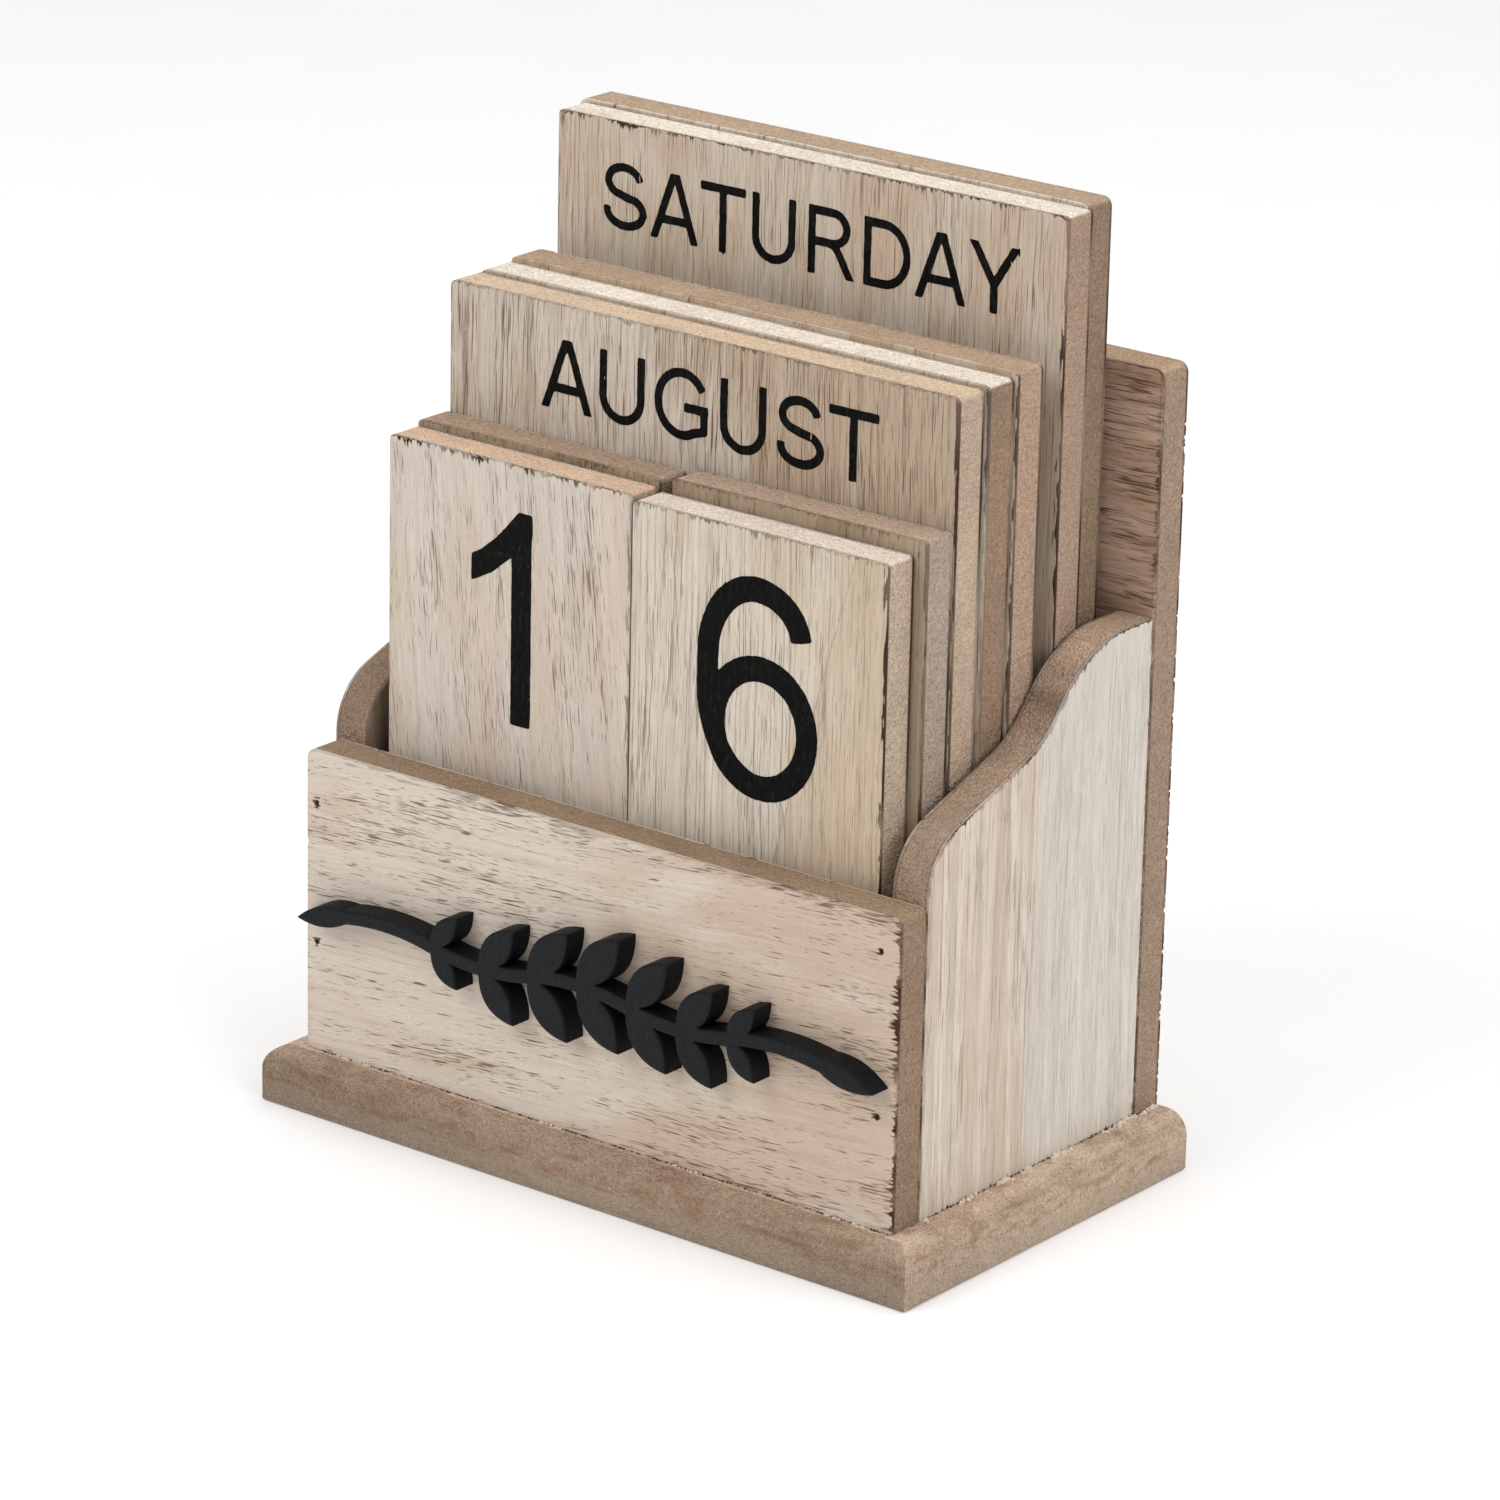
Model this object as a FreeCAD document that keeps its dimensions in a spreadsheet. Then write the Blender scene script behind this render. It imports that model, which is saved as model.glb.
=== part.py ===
import FreeCAD, Part
import math
import os
from enum import IntEnum
from types import SimpleNamespace

import Sketcher

Vector = FreeCAD.Vector
Rotation = FreeCAD.Rotation

# Perpetual desk calendar: loose tiles stand in an open wooden tray on a moulded base.
# Frame: X to the right, Y to the back, Z up. The origin is the centre of the base's
# underside, and the front panel faces -Y. Every board of the tray and every tile is
# fibreboard with a thin wood veneer glued to each of its two faces.

SIZES = {
    # boards
    "panel_core": 5.4,            # fibreboard inside the tray's four panels
    "tile_core": 5.1,             # fibreboard inside every tile
    "veneer": 0.5,                # one sheet of veneer
    # base
    "base_thickness": 9.0,
    "base_round": 3.6,            # rounding along the top edge, front and sides
    "base_front_ledge": 0.4,      # flat strip between the front panel and the rounding
    "base_side_ledge": 1.9,       # flat strip between a side panel and the rounding
    "base_foot_chamfer": 0.4,     # eased lower edge
    # tray
    "box_width": 110.0,
    "front_height": 47.5,
    "back_height": 114.1,
    "panel_corner": 1.6,          # rounded upper corners of the front and back panels
    # curved top edge of the side panels
    "shoulder_rise": 0.7,         # straight start above the front panel
    "shoulder_radius": 10.0,
    "saddle_angle": 19.5,         # slope of the long gentle run, degrees
    "sweep_radius": 16.0,         # hollow at the foot of the ramp
    "ramp_angle": 51.0,           # slope of the short steep run, degrees
    "crest_radius": 20.0,
    "crest_rise": 29.6,           # flat top above the front panel's top
    "crest_run": 6.0,             # length of the flat top
    # play of the rows of tiles, front to back
    "front_gap": 1.5,             # front panel to the first row
    "tile_gap": 0.2,              # between rows that stand against each other
    "day_gap": 4.4,               # last month tile to the first day tile
    "back_gap": 2.8,              # last day tile to the back panel
    # play of the tiles across the tray, and how far each one stands off the middle
    "side_slack": 2.4,            # beside a wide tile
    "pair_slack": 0.65,           # a pair of number tiles is this much narrower at each end
    "pair_gap": 0.2,              # between the two tiles of a pair
    "pair_shift": -0.4,
    "rear_right_shift": 1.55,
    "month_front_shift": 1.0,
    "month_middle_shift": 1.5,
    "month_rear_shift": 1.9,
    "day_front_shift": 2.0,
    "day_rear_shift": 0.8,
    # heights and rounded upper corners of the tiles
    "front_left_height": 95.9,
    "front_right_height": 95.2,
    "rear_left_height": 96.8,
    "rear_right_height": 97.4,
    "month_front_height": 116.8,
    "month_middle_height": 117.2,
    "month_rear_height": 118.0,
    "day_front_height": 138.3,
    "day_rear_height": 138.7,
    "number_corner": 0.8,
    "month_corner": 1.0,
    "day_corner": 1.4,
    "day_front_corner": 0.8,
    # brads: flat wire with a wider head
    "brad_thickness": 1.0,
    "brad_width": 1.2,
    "brad_head_width": 1.9,
    "brad_head_height": 0.5,
    "brad_point": 1.5,
    "brad_sink": 0.4,             # head below the face
    "brad_clearance": 0.05,       # all round, and past the point
    "panel_brad_length": 15.0,
    "base_brad_length": 20.0,
    "front_brad_inset_left": 1.9,     # in from the end of the front panel
    "front_brad_inset_right": 3.3,
    "front_brad_drop_left": 8.4,      # upper brads, below the front panel's top
    "front_brad_drop_right": 5.5,
    "back_brad_drop": 17.1,           # upper brads, below the side panels' top
    "brad_rise": 17.1,                # lower brads, above the base
    "base_brad_inset": 11.0,          # from each end of a side panel
    # cut-out leaf sprig on the front panel
    "sprig_thickness": 4.0,
    "sprig_height": 23.2,         # stem above the base
    "sprig_margin": 1.0,          # free panel beside each tip
    "stem_width": 2.2,
    "stem_wave_radius": 40.0,
    "tip_length": 12.0,
    "tip_width": 3.3,
    "tip_overlap": 4.0,           # length that a tip shares with the stem
    "leaf_length": 11.8,          # the largest pair
    "leaf_width": 5.6,
    "leaf_angle": 48.0,
}

STEM_WAVES = 5                    # arcs of the stem, bulging up and down in turn
FIRST_LEAVES = 2                  # half wave of the stem that carries the first pair
LEAF_FULLNESS = (0.64, 0.84, 0.96, 1.0, 0.96, 0.84, 0.64)

# The rows of tiles, from the front panel to the back panel.
ROWS = ("number_front", "number_rear", "month_front", "month_middle", "month_rear",
        "day_front", "day_rear")
SIDES = {"left": -1, "right": 1}


class At(IntEnum):
    """The points of a sketch edge, as the sketcher numbers them."""

    START = 1
    END = 2


LEVEL_AXIS = -1
ORIGIN = (-1, At.START)


class Size:
    """A length or an angle: its number, and the sheet expression that drives it."""

    def __init__(self, number, formula):
        self.number = float(number)
        self.formula = formula

    def __add__(self, other):
        other = as_size(other)
        return Size(self.number + other.number, f"({self.formula} + {other.formula})")

    def __sub__(self, other):
        other = as_size(other)
        return Size(self.number - other.number, f"({self.formula} - {other.formula})")

    def __mul__(self, factor):
        factor = as_size(factor)
        return Size(self.number * factor.number, f"({self.formula} * {factor.formula})")

    def __truediv__(self, divisor):
        divisor = as_size(divisor)
        return Size(self.number / divisor.number, f"({self.formula} / {divisor.formula})")

    def __neg__(self):
        return Size(-self.number, f"(0 - {self.formula})")

    __rmul__ = __mul__

    def root(self):
        return Size(math.sqrt(self.number), f"sqrt({self.formula})")

    def arcsine(self):
        """The angle, in degrees, whose sine this is."""
        return Size(math.degrees(math.asin(self.number)), f"(asin({self.formula}) / 1 deg)")

    def tangent(self):
        """The tangent of this angle, which is in degrees."""
        return Size(math.tan(math.radians(self.number)), f"tan({self.formula} * 1 deg)")


def as_size(value):
    return value if isinstance(value, Size) else Size(value, f"{value:g}")


ZERO = Size(0, "0")


# ---------------------------------------------------------------- sizes

def make_sheet(doc):
    """Write the driving dimensions into the sheet and return them by name."""
    sheet = doc.addObject("Spreadsheet::Sheet", "Sheet")
    for row, (alias, number) in enumerate(SIZES.items(), start=1):
        sheet.set(f"A{row}", alias)
        sheet.set(f"B{row}", str(number))
        sheet.setAlias(f"B{row}", alias)
    doc.recompute()
    return SimpleNamespace(**{alias: Size(number, f"Sheet.{alias}") for alias, number in SIZES.items()})


def add_layout(size):
    """Work out the sizes and places that follow from the driving ones."""
    size.panel = size.panel_core + 2 * size.veneer
    size.tile = size.tile_core + 2 * size.veneer
    size.row_depth, size.tray_depth = stack_rows(size)
    size.tray_width = size.box_width - 2 * size.panel
    size.wide_width = size.tray_width - 2 * size.side_slack
    size.number_width = (size.wide_width - 2 * size.pair_slack - size.pair_gap) / 2
    size.crest_height = size.front_height + size.crest_rise

    size.base_width = size.box_width + 2 * (size.base_round + size.base_side_ledge)
    base_front = size.base_round + size.base_front_ledge
    size.base_depth = base_front + 2 * size.panel + size.tray_depth
    size.front_y = base_front - size.base_depth / 2
    size.tray_y = size.front_y + size.panel
    size.back_y = size.tray_y + size.tray_depth

    play = 2 * size.brad_clearance
    size.brad_hole = (size.brad_thickness + play, size.brad_width + play)
    size.head_hole = (size.brad_thickness + play, size.brad_head_width + play)
    size.head_depth = size.brad_sink + size.brad_head_height + size.brad_clearance

    size.stem_length = (size.box_width - 2 * size.sprig_margin
                        - 2 * (size.tip_length - size.tip_overlap))
    size.wave = size.stem_length / STEM_WAVES


def stack_rows(size):
    """Stand the rows of tiles behind each other; return each one's depth and the tray's."""
    depths = {}
    depth = size.front_gap
    gaps = {"month_rear": size.day_gap, "day_rear": size.back_gap}
    for row in ROWS:
        depths[row] = depth
        depth = depth + size.tile + gaps.get(row, size.tile_gap)
    return depths, depth


# ---------------------------------------------------------------- sketches and features

def new_body(doc, name):
    body = doc.addObject("PartDesign::Body", name)
    body.Label = name
    return body


def place(item, x, y, z):
    """Tie an object's position to the sheet."""
    for axis, value in zip("xyz", (x, y, z)):
        item.setExpression(f"Placement.Base.{axis}", value.formula)


def new_sketch(body, role, shift=ZERO):
    """Start a sketch on one of the body's own planes, shifted along the plane's normal."""
    sketch = body.newObject("Sketcher::SketchObject", "Sketch")
    plane = next(item for item in body.Origin.OriginFeatures if item.Role == role)
    sketch.AttachmentSupport = [(plane, "")]
    sketch.MapMode = "FlatFace"
    sketch.setExpression("AttachmentOffset.Base.z", shift.formula)
    return sketch


def line(sketch, start, end):
    return sketch.addGeometry(Part.LineSegment(Vector(*start, 0), Vector(*end, 0)), False)


def arc(sketch, centre, radius, start_degrees, end_degrees):
    """Add an arc that runs anticlockwise between two angles."""
    whole = Part.Circle(Vector(*centre, 0), Vector(0, 0, 1), radius)
    span = (math.radians(start_degrees), math.radians(end_degrees))
    return sketch.addGeometry(Part.ArcOfCircle(whole, *span), False)


def constrain(sketch, kind, *places):
    sketch.addConstraint(Sketcher.Constraint(kind, *places))


def join(sketch, kind, pairs):
    """Join edge ends, given as pairs of (edge, point)."""
    for first, second in pairs:
        constrain(sketch, kind, *first, *second)


def dimension(sketch, kind, *places, size):
    """Add a dimension and tie it to the sheet."""
    index = sketch.addConstraint(Sketcher.Constraint(kind, *places, size.number))
    sketch.setExpression(f"Constraints[{index}]", size.formula)


def slope(sketch, edge, low_end, angle):
    """Dimension the angle at which a line rises from the level axis."""
    places = (LEVEL_AXIS, At.START, edge, low_end)
    index = sketch.addConstraint(Sketcher.Constraint("Angle", *places, math.radians(angle.number)))
    sketch.setExpression(f"Constraints[{index}]", angle.formula)


def locate(sketch, edge, point, across, up):
    """Dimension a point from the sketch's origin."""
    dimension(sketch, "DistanceX", *ORIGIN, edge, point, size=across)
    dimension(sketch, "DistanceY", *ORIGIN, edge, point, size=up)


def rectangle(sketch, low, high):
    """Draw an upright rectangle between two corners; return its foot, right, top and left sides."""
    corners = [low, (high[0], low[1]), high, (low[0], high[1])]
    sides = [line(sketch, corners[i - 1], corners[i]) for i in (1, 2, 3, 0)]
    following = sides[1:] + sides[:1]
    join(sketch, "Coincident", [((a, At.END), (b, At.START)) for a, b in zip(sides, following)])
    for side, kind in zip(sides, ("Horizontal", "Vertical", "Horizontal", "Vertical")):
        constrain(sketch, kind, side)
    return sides


def extrude(body, sketch, length, backwards=False):
    pad = body.newObject("PartDesign::Pad", "Pad")
    pad.Profile = sketch
    pad.Reversed = backwards
    pad.setExpression("Length", length.formula)
    body.Document.recompute()
    return pad


def punch(body, role, centres, hole, depth=None, shift=ZERO, along_normal=False):
    """Cut small oblong holes from one of the body's planes; without a depth they go through.

    The hole is its size across and its size up, in the sketch's own directions."""
    volume = body.Shape.Volume
    sketch = new_sketch(body, role, shift)
    for across, up in centres:
        left, right = across - hole[0] / 2, across + hole[0] / 2
        low, high = up - hole[1] / 2, up + hole[1] / 2
        foot, side = rectangle(sketch, (left.number, low.number), (right.number, high.number))[:2]
        locate(sketch, foot, At.START, left, low)
        dimension(sketch, "DistanceX", foot, At.START, foot, At.END, size=hole[0])
        dimension(sketch, "DistanceY", side, At.START, side, At.END, size=hole[1])
    pocket = body.newObject("PartDesign::Pocket", "Pocket")
    pocket.Profile = sketch
    pocket.Reversed = along_normal
    if depth is None:
        pocket.Type = "ThroughAll"
    else:
        pocket.setExpression("Length", depth.formula)
    body.Document.recompute()
    if not body.Shape.Volume < volume:
        raise ValueError(f"{body.Label}: the holes cut nothing")


# ---------------------------------------------------------------- boards that face the front

def board_outline(sketch, width, height, corner):
    """Draw a board that stands on the X axis, its two upper corners rounded."""
    half, top, radius = width.number / 2, height.number, corner.number
    foot = line(sketch, (-half, 0), (half, 0))
    right = line(sketch, (half, 0), (half, top - radius))
    right_corner = arc(sketch, (half - radius, top - radius), radius, 0, 90)
    head = line(sketch, (half - radius, top), (radius - half, top))
    left_corner = arc(sketch, (radius - half, top - radius), radius, 90, 180)
    left = line(sketch, (-half, top - radius), (-half, 0))
    join(sketch, "Coincident", [((foot, At.END), (right, At.START)), ((left, At.END), (foot, At.START))])
    rounded = (right, right_corner, head, left_corner, left)
    join(sketch, "Tangent", [((a, At.END), (b, At.START)) for a, b in zip(rounded, rounded[1:])])
    constrain(sketch, "Horizontal", foot)
    constrain(sketch, "Vertical", right)
    constrain(sketch, "Equal", right_corner, left_corner)
    constrain(sketch, "Symmetric", foot, At.START, foot, At.END, *ORIGIN)
    dimension(sketch, "DistanceX", foot, At.START, foot, At.END, size=width)
    dimension(sketch, "DistanceY", foot, At.END, head, At.START, size=height)
    dimension(sketch, "Radius", right_corner, size=corner)


def layered_board(doc, size, names, outline, core, position):
    """Stack a veneer, a core and a veneer, from the front face on; outline is width, height, corner.

    Each layer's own origin is the middle of the foot of its front face."""
    x, y, z = position
    layers = []
    for name, thickness in zip(names, (size.veneer, core, size.veneer)):
        layer = new_body(doc, name)
        sketch = new_sketch(layer, "XZ_Plane")
        board_outline(sketch, *outline)
        extrude(layer, sketch, thickness, backwards=True)
        place(layer, x, y, z)
        layers.append(layer)
        y = y + thickness
    return layers


# ---------------------------------------------------------------- base

def make_base(doc, size):
    """Base board: its top edge is rounded at the front and the sides, and its back is square."""
    body = new_body(doc, "base_board")
    sketch = new_sketch(body, "XY_Plane")
    half_width, half_depth = size.base_width.number / 2, size.base_depth.number / 2
    front, right = rectangle(sketch, (-half_width, -half_depth), (half_width, half_depth))[:2]
    constrain(sketch, "Symmetric", front, At.START, right, At.END, *ORIGIN)
    dimension(sketch, "DistanceX", front, At.START, front, At.END, size=size.base_width)
    dimension(sketch, "DistanceY", right, At.START, right, At.END, size=size.base_depth)
    block = extrude(body, sketch, size.base_thickness)

    rounding = body.newObject("PartDesign::Fillet", "TopRounding")
    rounding.Base = (block, level_edges(block.Shape, size.base_thickness.number, with_back=False))
    rounding.setExpression("Radius", size.base_round.formula)
    doc.recompute()
    easing = body.newObject("PartDesign::Chamfer", "FootEasing")
    easing.Base = (rounding, level_edges(rounding.Shape, 0, with_back=True))
    easing.setExpression("Size", size.base_foot_chamfer.formula)
    doc.recompute()

    centres = base_brad_places(size)
    punch(body, "XY_Plane", centres, size.brad_hole, along_normal=True)
    punch(body, "XY_Plane", centres, size.head_hole, size.head_depth, along_normal=True)
    return body


def level_edges(shape, height, with_back):
    """Name the edges that run round a block at one height, with or without the back one."""
    tiny = shape.BoundBox.DiagonalLength / 1e6
    names = []
    for number, edge in enumerate(shape.Edges, start=1):
        box = edge.BoundBox
        level = abs(box.ZMin - height) < tiny and abs(box.ZMax - height) < tiny
        at_back = box.YMin > shape.BoundBox.YMax - tiny
        if level and (with_back or not at_back):
            names.append(f"Edge{number}")
    return names


# ---------------------------------------------------------------- front and back panels

def make_front_panel(doc, size):
    """Front panel: it covers the ends of both side panels and is nailed to them."""
    names = ["front_panel_outer_veneer", "front_panel_core", "front_panel_inner_veneer"]
    outline = (size.box_width, size.front_height, size.panel_corner)
    position = (ZERO, size.front_y, size.base_thickness)
    layers = layered_board(doc, size, names, outline, size.panel_core, position)
    punch_panel(layers, size, front_brad_places(size), outer=0)
    return layers


def make_back_panel(doc, size):
    """Back panel: as wide as the tray, and taller than the side panels that it covers."""
    names = ["back_panel_inner_veneer", "back_panel_core", "back_panel_outer_veneer"]
    outline = (size.box_width, size.back_height, size.panel_corner)
    position = (ZERO, size.back_y, size.base_thickness)
    layers = layered_board(doc, size, names, outline, size.panel_core, position)
    punch_panel(layers, size, back_brad_places(size), outer=-1)
    return layers


def punch_panel(layers, size, centres, outer):
    """Cut the brads' holes, with room for each sunk head in the outer veneer and the core."""
    core = layers[1]
    for layer in layers:
        through = size.head_hole if layer is layers[outer] else size.brad_hole
        punch(layer, "XZ_Plane", centres, through)
    from_back = outer == -1
    shift = -size.panel_core if from_back else ZERO
    punch(core, "XZ_Plane", centres, size.head_hole, size.head_depth - size.veneer, shift, from_back)


# ---------------------------------------------------------------- side panels

def side_curve(size):
    """Work out where the straight runs and arcs of the side panel's top edge meet.

    The saddle and the ramp are lines that meet at a corner, which the sweep rounds."""
    saddle, ramp = math.radians(size.saddle_angle.number), math.radians(size.ramp_angle.number)
    up_saddle = Vector(math.cos(saddle), math.sin(saddle), 0)
    up_ramp = Vector(math.cos(ramp), math.sin(ramp), 0)
    off_saddle = Vector(-math.sin(saddle), math.cos(saddle), 0)
    off_ramp = Vector(-math.sin(ramp), math.cos(ramp), 0)
    curve = SimpleNamespace()
    curve.shoulder = Vector(size.shoulder_radius.number, (size.front_height + size.shoulder_rise).number, 0)
    curve.shoulder_end = curve.shoulder + off_saddle * size.shoulder_radius.number
    curve.crest = Vector((size.tray_depth - size.crest_run).number,
                         (size.crest_height - size.crest_radius).number, 0)
    curve.ramp_end = curve.crest + off_ramp * size.crest_radius.number
    across = curve.ramp_end - curve.shoulder_end
    corner = curve.shoulder_end + up_saddle * (across.dot(off_ramp) / up_saddle.dot(off_ramp))
    cut_back = size.sweep_radius.number * math.tan((ramp - saddle) / 2)
    curve.sweep_start = corner - up_saddle * cut_back
    curve.sweep_end = corner + up_ramp * cut_back
    curve.sweep = curve.sweep_start + off_saddle * size.sweep_radius.number
    return curve


def side_outline(sketch, size):
    """Draw the side panel: shoulder, gentle saddle, ramp and crest run into each other."""
    curve = side_curve(size)
    depth, crest = size.tray_depth.number, size.crest_height.number
    gentle, steep = size.saddle_angle.number, size.ramp_angle.number
    foot = line(sketch, (0, 0), (depth, 0))
    back = line(sketch, (depth, 0), (depth, crest))
    flat = line(sketch, (depth, crest), (curve.crest.x, crest))
    crest_arc = arc(sketch, curve.crest[:2], size.crest_radius.number, 90, 90 + steep)
    ramp = line(sketch, curve.ramp_end[:2], curve.sweep_end[:2])
    sweep_arc = arc(sketch, curve.sweep[:2], size.sweep_radius.number, gentle - 90, steep - 90)
    saddle = line(sketch, curve.sweep_start[:2], curve.shoulder_end[:2])
    shoulder_arc = arc(sketch, curve.shoulder[:2], size.shoulder_radius.number, 90 + gentle, 180)
    front = line(sketch, (0, curve.shoulder.y), (0, 0))

    join(sketch, "Coincident", [((foot, At.END), (back, At.START)), ((back, At.END), (flat, At.START)),
                                ((front, At.END), (foot, At.START)), ((foot, At.START), ORIGIN)])
    join(sketch, "Tangent", [((flat, At.END), (crest_arc, At.START)),
                             ((crest_arc, At.END), (ramp, At.START)),
                             ((ramp, At.END), (sweep_arc, At.END)),
                             ((sweep_arc, At.START), (saddle, At.START)),
                             ((saddle, At.END), (shoulder_arc, At.START)),
                             ((shoulder_arc, At.END), (front, At.START))])
    for edge, kind in ((foot, "Horizontal"), (flat, "Horizontal"), (back, "Vertical"), (front, "Vertical")):
        constrain(sketch, kind, edge)
    dimension(sketch, "DistanceX", foot, At.START, foot, At.END, size=size.tray_depth)
    dimension(sketch, "DistanceY", back, At.START, back, At.END, size=size.crest_height)
    dimension(sketch, "DistanceX", flat, At.END, flat, At.START, size=size.crest_run)
    shoulder_foot = size.front_height + size.shoulder_rise
    dimension(sketch, "DistanceY", front, At.END, front, At.START, size=shoulder_foot)
    dimension(sketch, "Radius", shoulder_arc, size=size.shoulder_radius)
    dimension(sketch, "Radius", sweep_arc, size=size.sweep_radius)
    dimension(sketch, "Radius", crest_arc, size=size.crest_radius)
    slope(sketch, saddle, At.END, size.saddle_angle)
    slope(sketch, ramp, At.END, size.ramp_angle)


def make_side_panel(doc, size, side):
    """Side panel in three layers, from the outer face in; it stands between front and back."""
    direction = SIDES[side]
    layers = []
    face = direction * size.box_width / 2
    for layer, thickness in (("outer_veneer", size.veneer), ("core", size.panel_core),
                             ("inner_veneer", size.veneer)):
        body = new_body(doc, f"{side}_side_{layer}")
        sketch = new_sketch(body, "YZ_Plane")
        side_outline(sketch, size)
        extrude(body, sketch, thickness, backwards=direction > 0)
        place(body, face, size.tray_y, size.base_thickness)
        face = face - direction * thickness
        layers.append(body)
    punch_side(layers[1], size, direction)
    return layers


def punch_side(core, size, direction):
    """Cut blind holes for the brads into the front, back and lower edges of one core."""
    core_face = direction * (size.box_width / 2 - size.veneer)
    reach = size.brad_sink + size.brad_clearance
    panel_hole = reach + size.panel_brad_length - size.panel
    base_hole = reach + size.base_brad_length - size.base_thickness

    def own(places):
        return [(x - core_face, other) for x, other in places if x.number * direction > 0]

    punch(core, "XZ_Plane", own(front_brad_places(size)), size.brad_hole, panel_hole)
    punch(core, "XZ_Plane", own(back_brad_places(size)), size.brad_hole, panel_hole,
          shift=-size.tray_depth, along_normal=True)
    lower = [(x, y - size.tray_y) for x, y in own(base_brad_places(size))]
    punch(core, "XY_Plane", lower, size.brad_hole, base_hole, along_normal=True)


# ---------------------------------------------------------------- brads

def front_brad_places(size):
    """X and height above the base of the four brads in the front panel, set by hand and eye."""
    places = []
    for side, direction in SIDES.items():
        across = direction * (size.box_width / 2 - getattr(size, f"front_brad_inset_{side}"))
        heights = (size.brad_rise, size.front_height - getattr(size, f"front_brad_drop_{side}"))
        places += [(across, height) for height in heights]
    return places


def back_brad_places(size):
    """X and height above the base of the four brads in the back panel."""
    across = size.box_width / 2 - size.panel / 2
    heights = (size.brad_rise, size.crest_height - size.back_brad_drop)
    return [(direction * across, height) for direction in SIDES.values() for height in heights]


def base_brad_places(size):
    """X and Y of the four brads that come up through the base into the side panels."""
    across = size.box_width / 2 - size.panel / 2
    depths = (size.tray_y + size.base_brad_inset, size.back_y - size.base_brad_inset)
    return [(direction * across, depth) for direction in SIDES.values() for depth in depths]


def make_block(doc, name, thickness, width, height):
    """A block that stands on its own origin, centred on it both ways."""
    block = doc.addObject("Part::Box", name)
    block.setExpression("Length", thickness.formula)
    block.setExpression("Width", width.formula)
    block.setExpression("Height", height.formula)
    place(block, -thickness / 2, -width / 2, ZERO)
    return block


def make_brad(doc, size, name, length, turn, position):
    """One brad; its own origin is the top of its head, and it points along its own Z."""
    thickness, point = size.brad_thickness, size.brad_point
    head = make_block(doc, f"{name}_head", thickness, size.brad_head_width, size.brad_head_height)
    shank = make_block(doc, f"{name}_shank", thickness, size.brad_width, length - point)
    chisel = doc.addObject("Part::Wedge", f"{name}_point")
    for limit, value in (("Xmin", -thickness / 2), ("Xmax", thickness / 2),
                         ("X2min", -thickness / 2), ("X2max", thickness / 2),
                         ("Zmin", -size.brad_width / 2), ("Zmax", size.brad_width / 2),
                         ("Z2min", ZERO), ("Z2max", ZERO), ("Ymin", ZERO), ("Ymax", point)):
        chisel.setExpression(limit, value.formula)
    chisel.Placement.Rotation = Rotation(Vector(1, 0, 0), 90)
    place(chisel, ZERO, ZERO, length - point)
    brad = doc.addObject("Part::MultiFuse", name)
    brad.Shapes = [head, shank, chisel]
    brad.Refine = True
    brad.Placement.Rotation = Rotation(Vector(1, 0, 0), turn)
    place(brad, *position)
    return brad


def make_brad_group(doc, size, label, length, turn, positions):
    """Like brads as one node of separate solids; turn is the rotation about X from pointing up."""
    group = doc.addObject("Part::Compound", label)
    group.Label = label
    group.Links = [make_brad(doc, size, f"{label}_{number}", length, turn, position)
                   for number, position in enumerate(positions, start=1)]
    return group


def make_brads(doc, size):
    """The brads that hold the tray together, each head sunk below the face it was driven into."""
    front_face = size.front_y + size.brad_sink
    back_face = size.back_y + size.panel - size.brad_sink
    front = [(x, front_face, size.base_thickness + height) for x, height in front_brad_places(size)]
    back = [(x, back_face, size.base_thickness + height) for x, height in back_brad_places(size)]
    base = [(x, y, size.brad_sink) for x, y in base_brad_places(size)]
    return [
        make_brad_group(doc, size, "front_brads", size.panel_brad_length, -90, front),
        make_brad_group(doc, size, "back_brads", size.panel_brad_length, 90, back),
        make_brad_group(doc, size, "base_brads", size.base_brad_length, 0, base),
    ]


# ---------------------------------------------------------------- leaf sprig

def make_sprig(doc, size):
    """Leaf sprig cut from one sheet: a waving stem, pairs of leaves and a pointed tip each end.

    Its own origin is the middle of the stem, on the face that is glued to the panel."""
    body = new_body(doc, "front_sprig")
    make_stem(body, size)
    radius = size.stem_wave_radius
    crown = radius - (radius * radius - size.wave * size.wave / 4).root()
    for station, fullness in enumerate(LEAF_FULLNESS, start=FIRST_LEAVES):
        foot = (size.wave * station / 2 - size.stem_length / 2, stem_height(station, crown))
        for angle in (size.leaf_angle, -size.leaf_angle):
            add_leaf(body, size, foot, angle, size.leaf_length * fullness, size.leaf_width * fullness)
    end_slope = (size.wave / (2 * radius)).arcsine()
    inset = size.stem_length / 2 - size.tip_overlap
    lift = size.tip_overlap * end_slope.tangent()
    add_leaf(body, size, (inset, lift), -end_slope, size.tip_length, size.tip_width)
    add_leaf(body, size, (-inset, lift), end_slope + 180, size.tip_length, size.tip_width)
    place(body, ZERO, size.front_y, size.base_thickness + size.sprig_height)
    return body


def stem_height(station, crown):
    """Height of the stem at a half wave: level where two arcs meet, high or low between."""
    return (ZERO, crown, ZERO, -crown)[station % 4]


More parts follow.
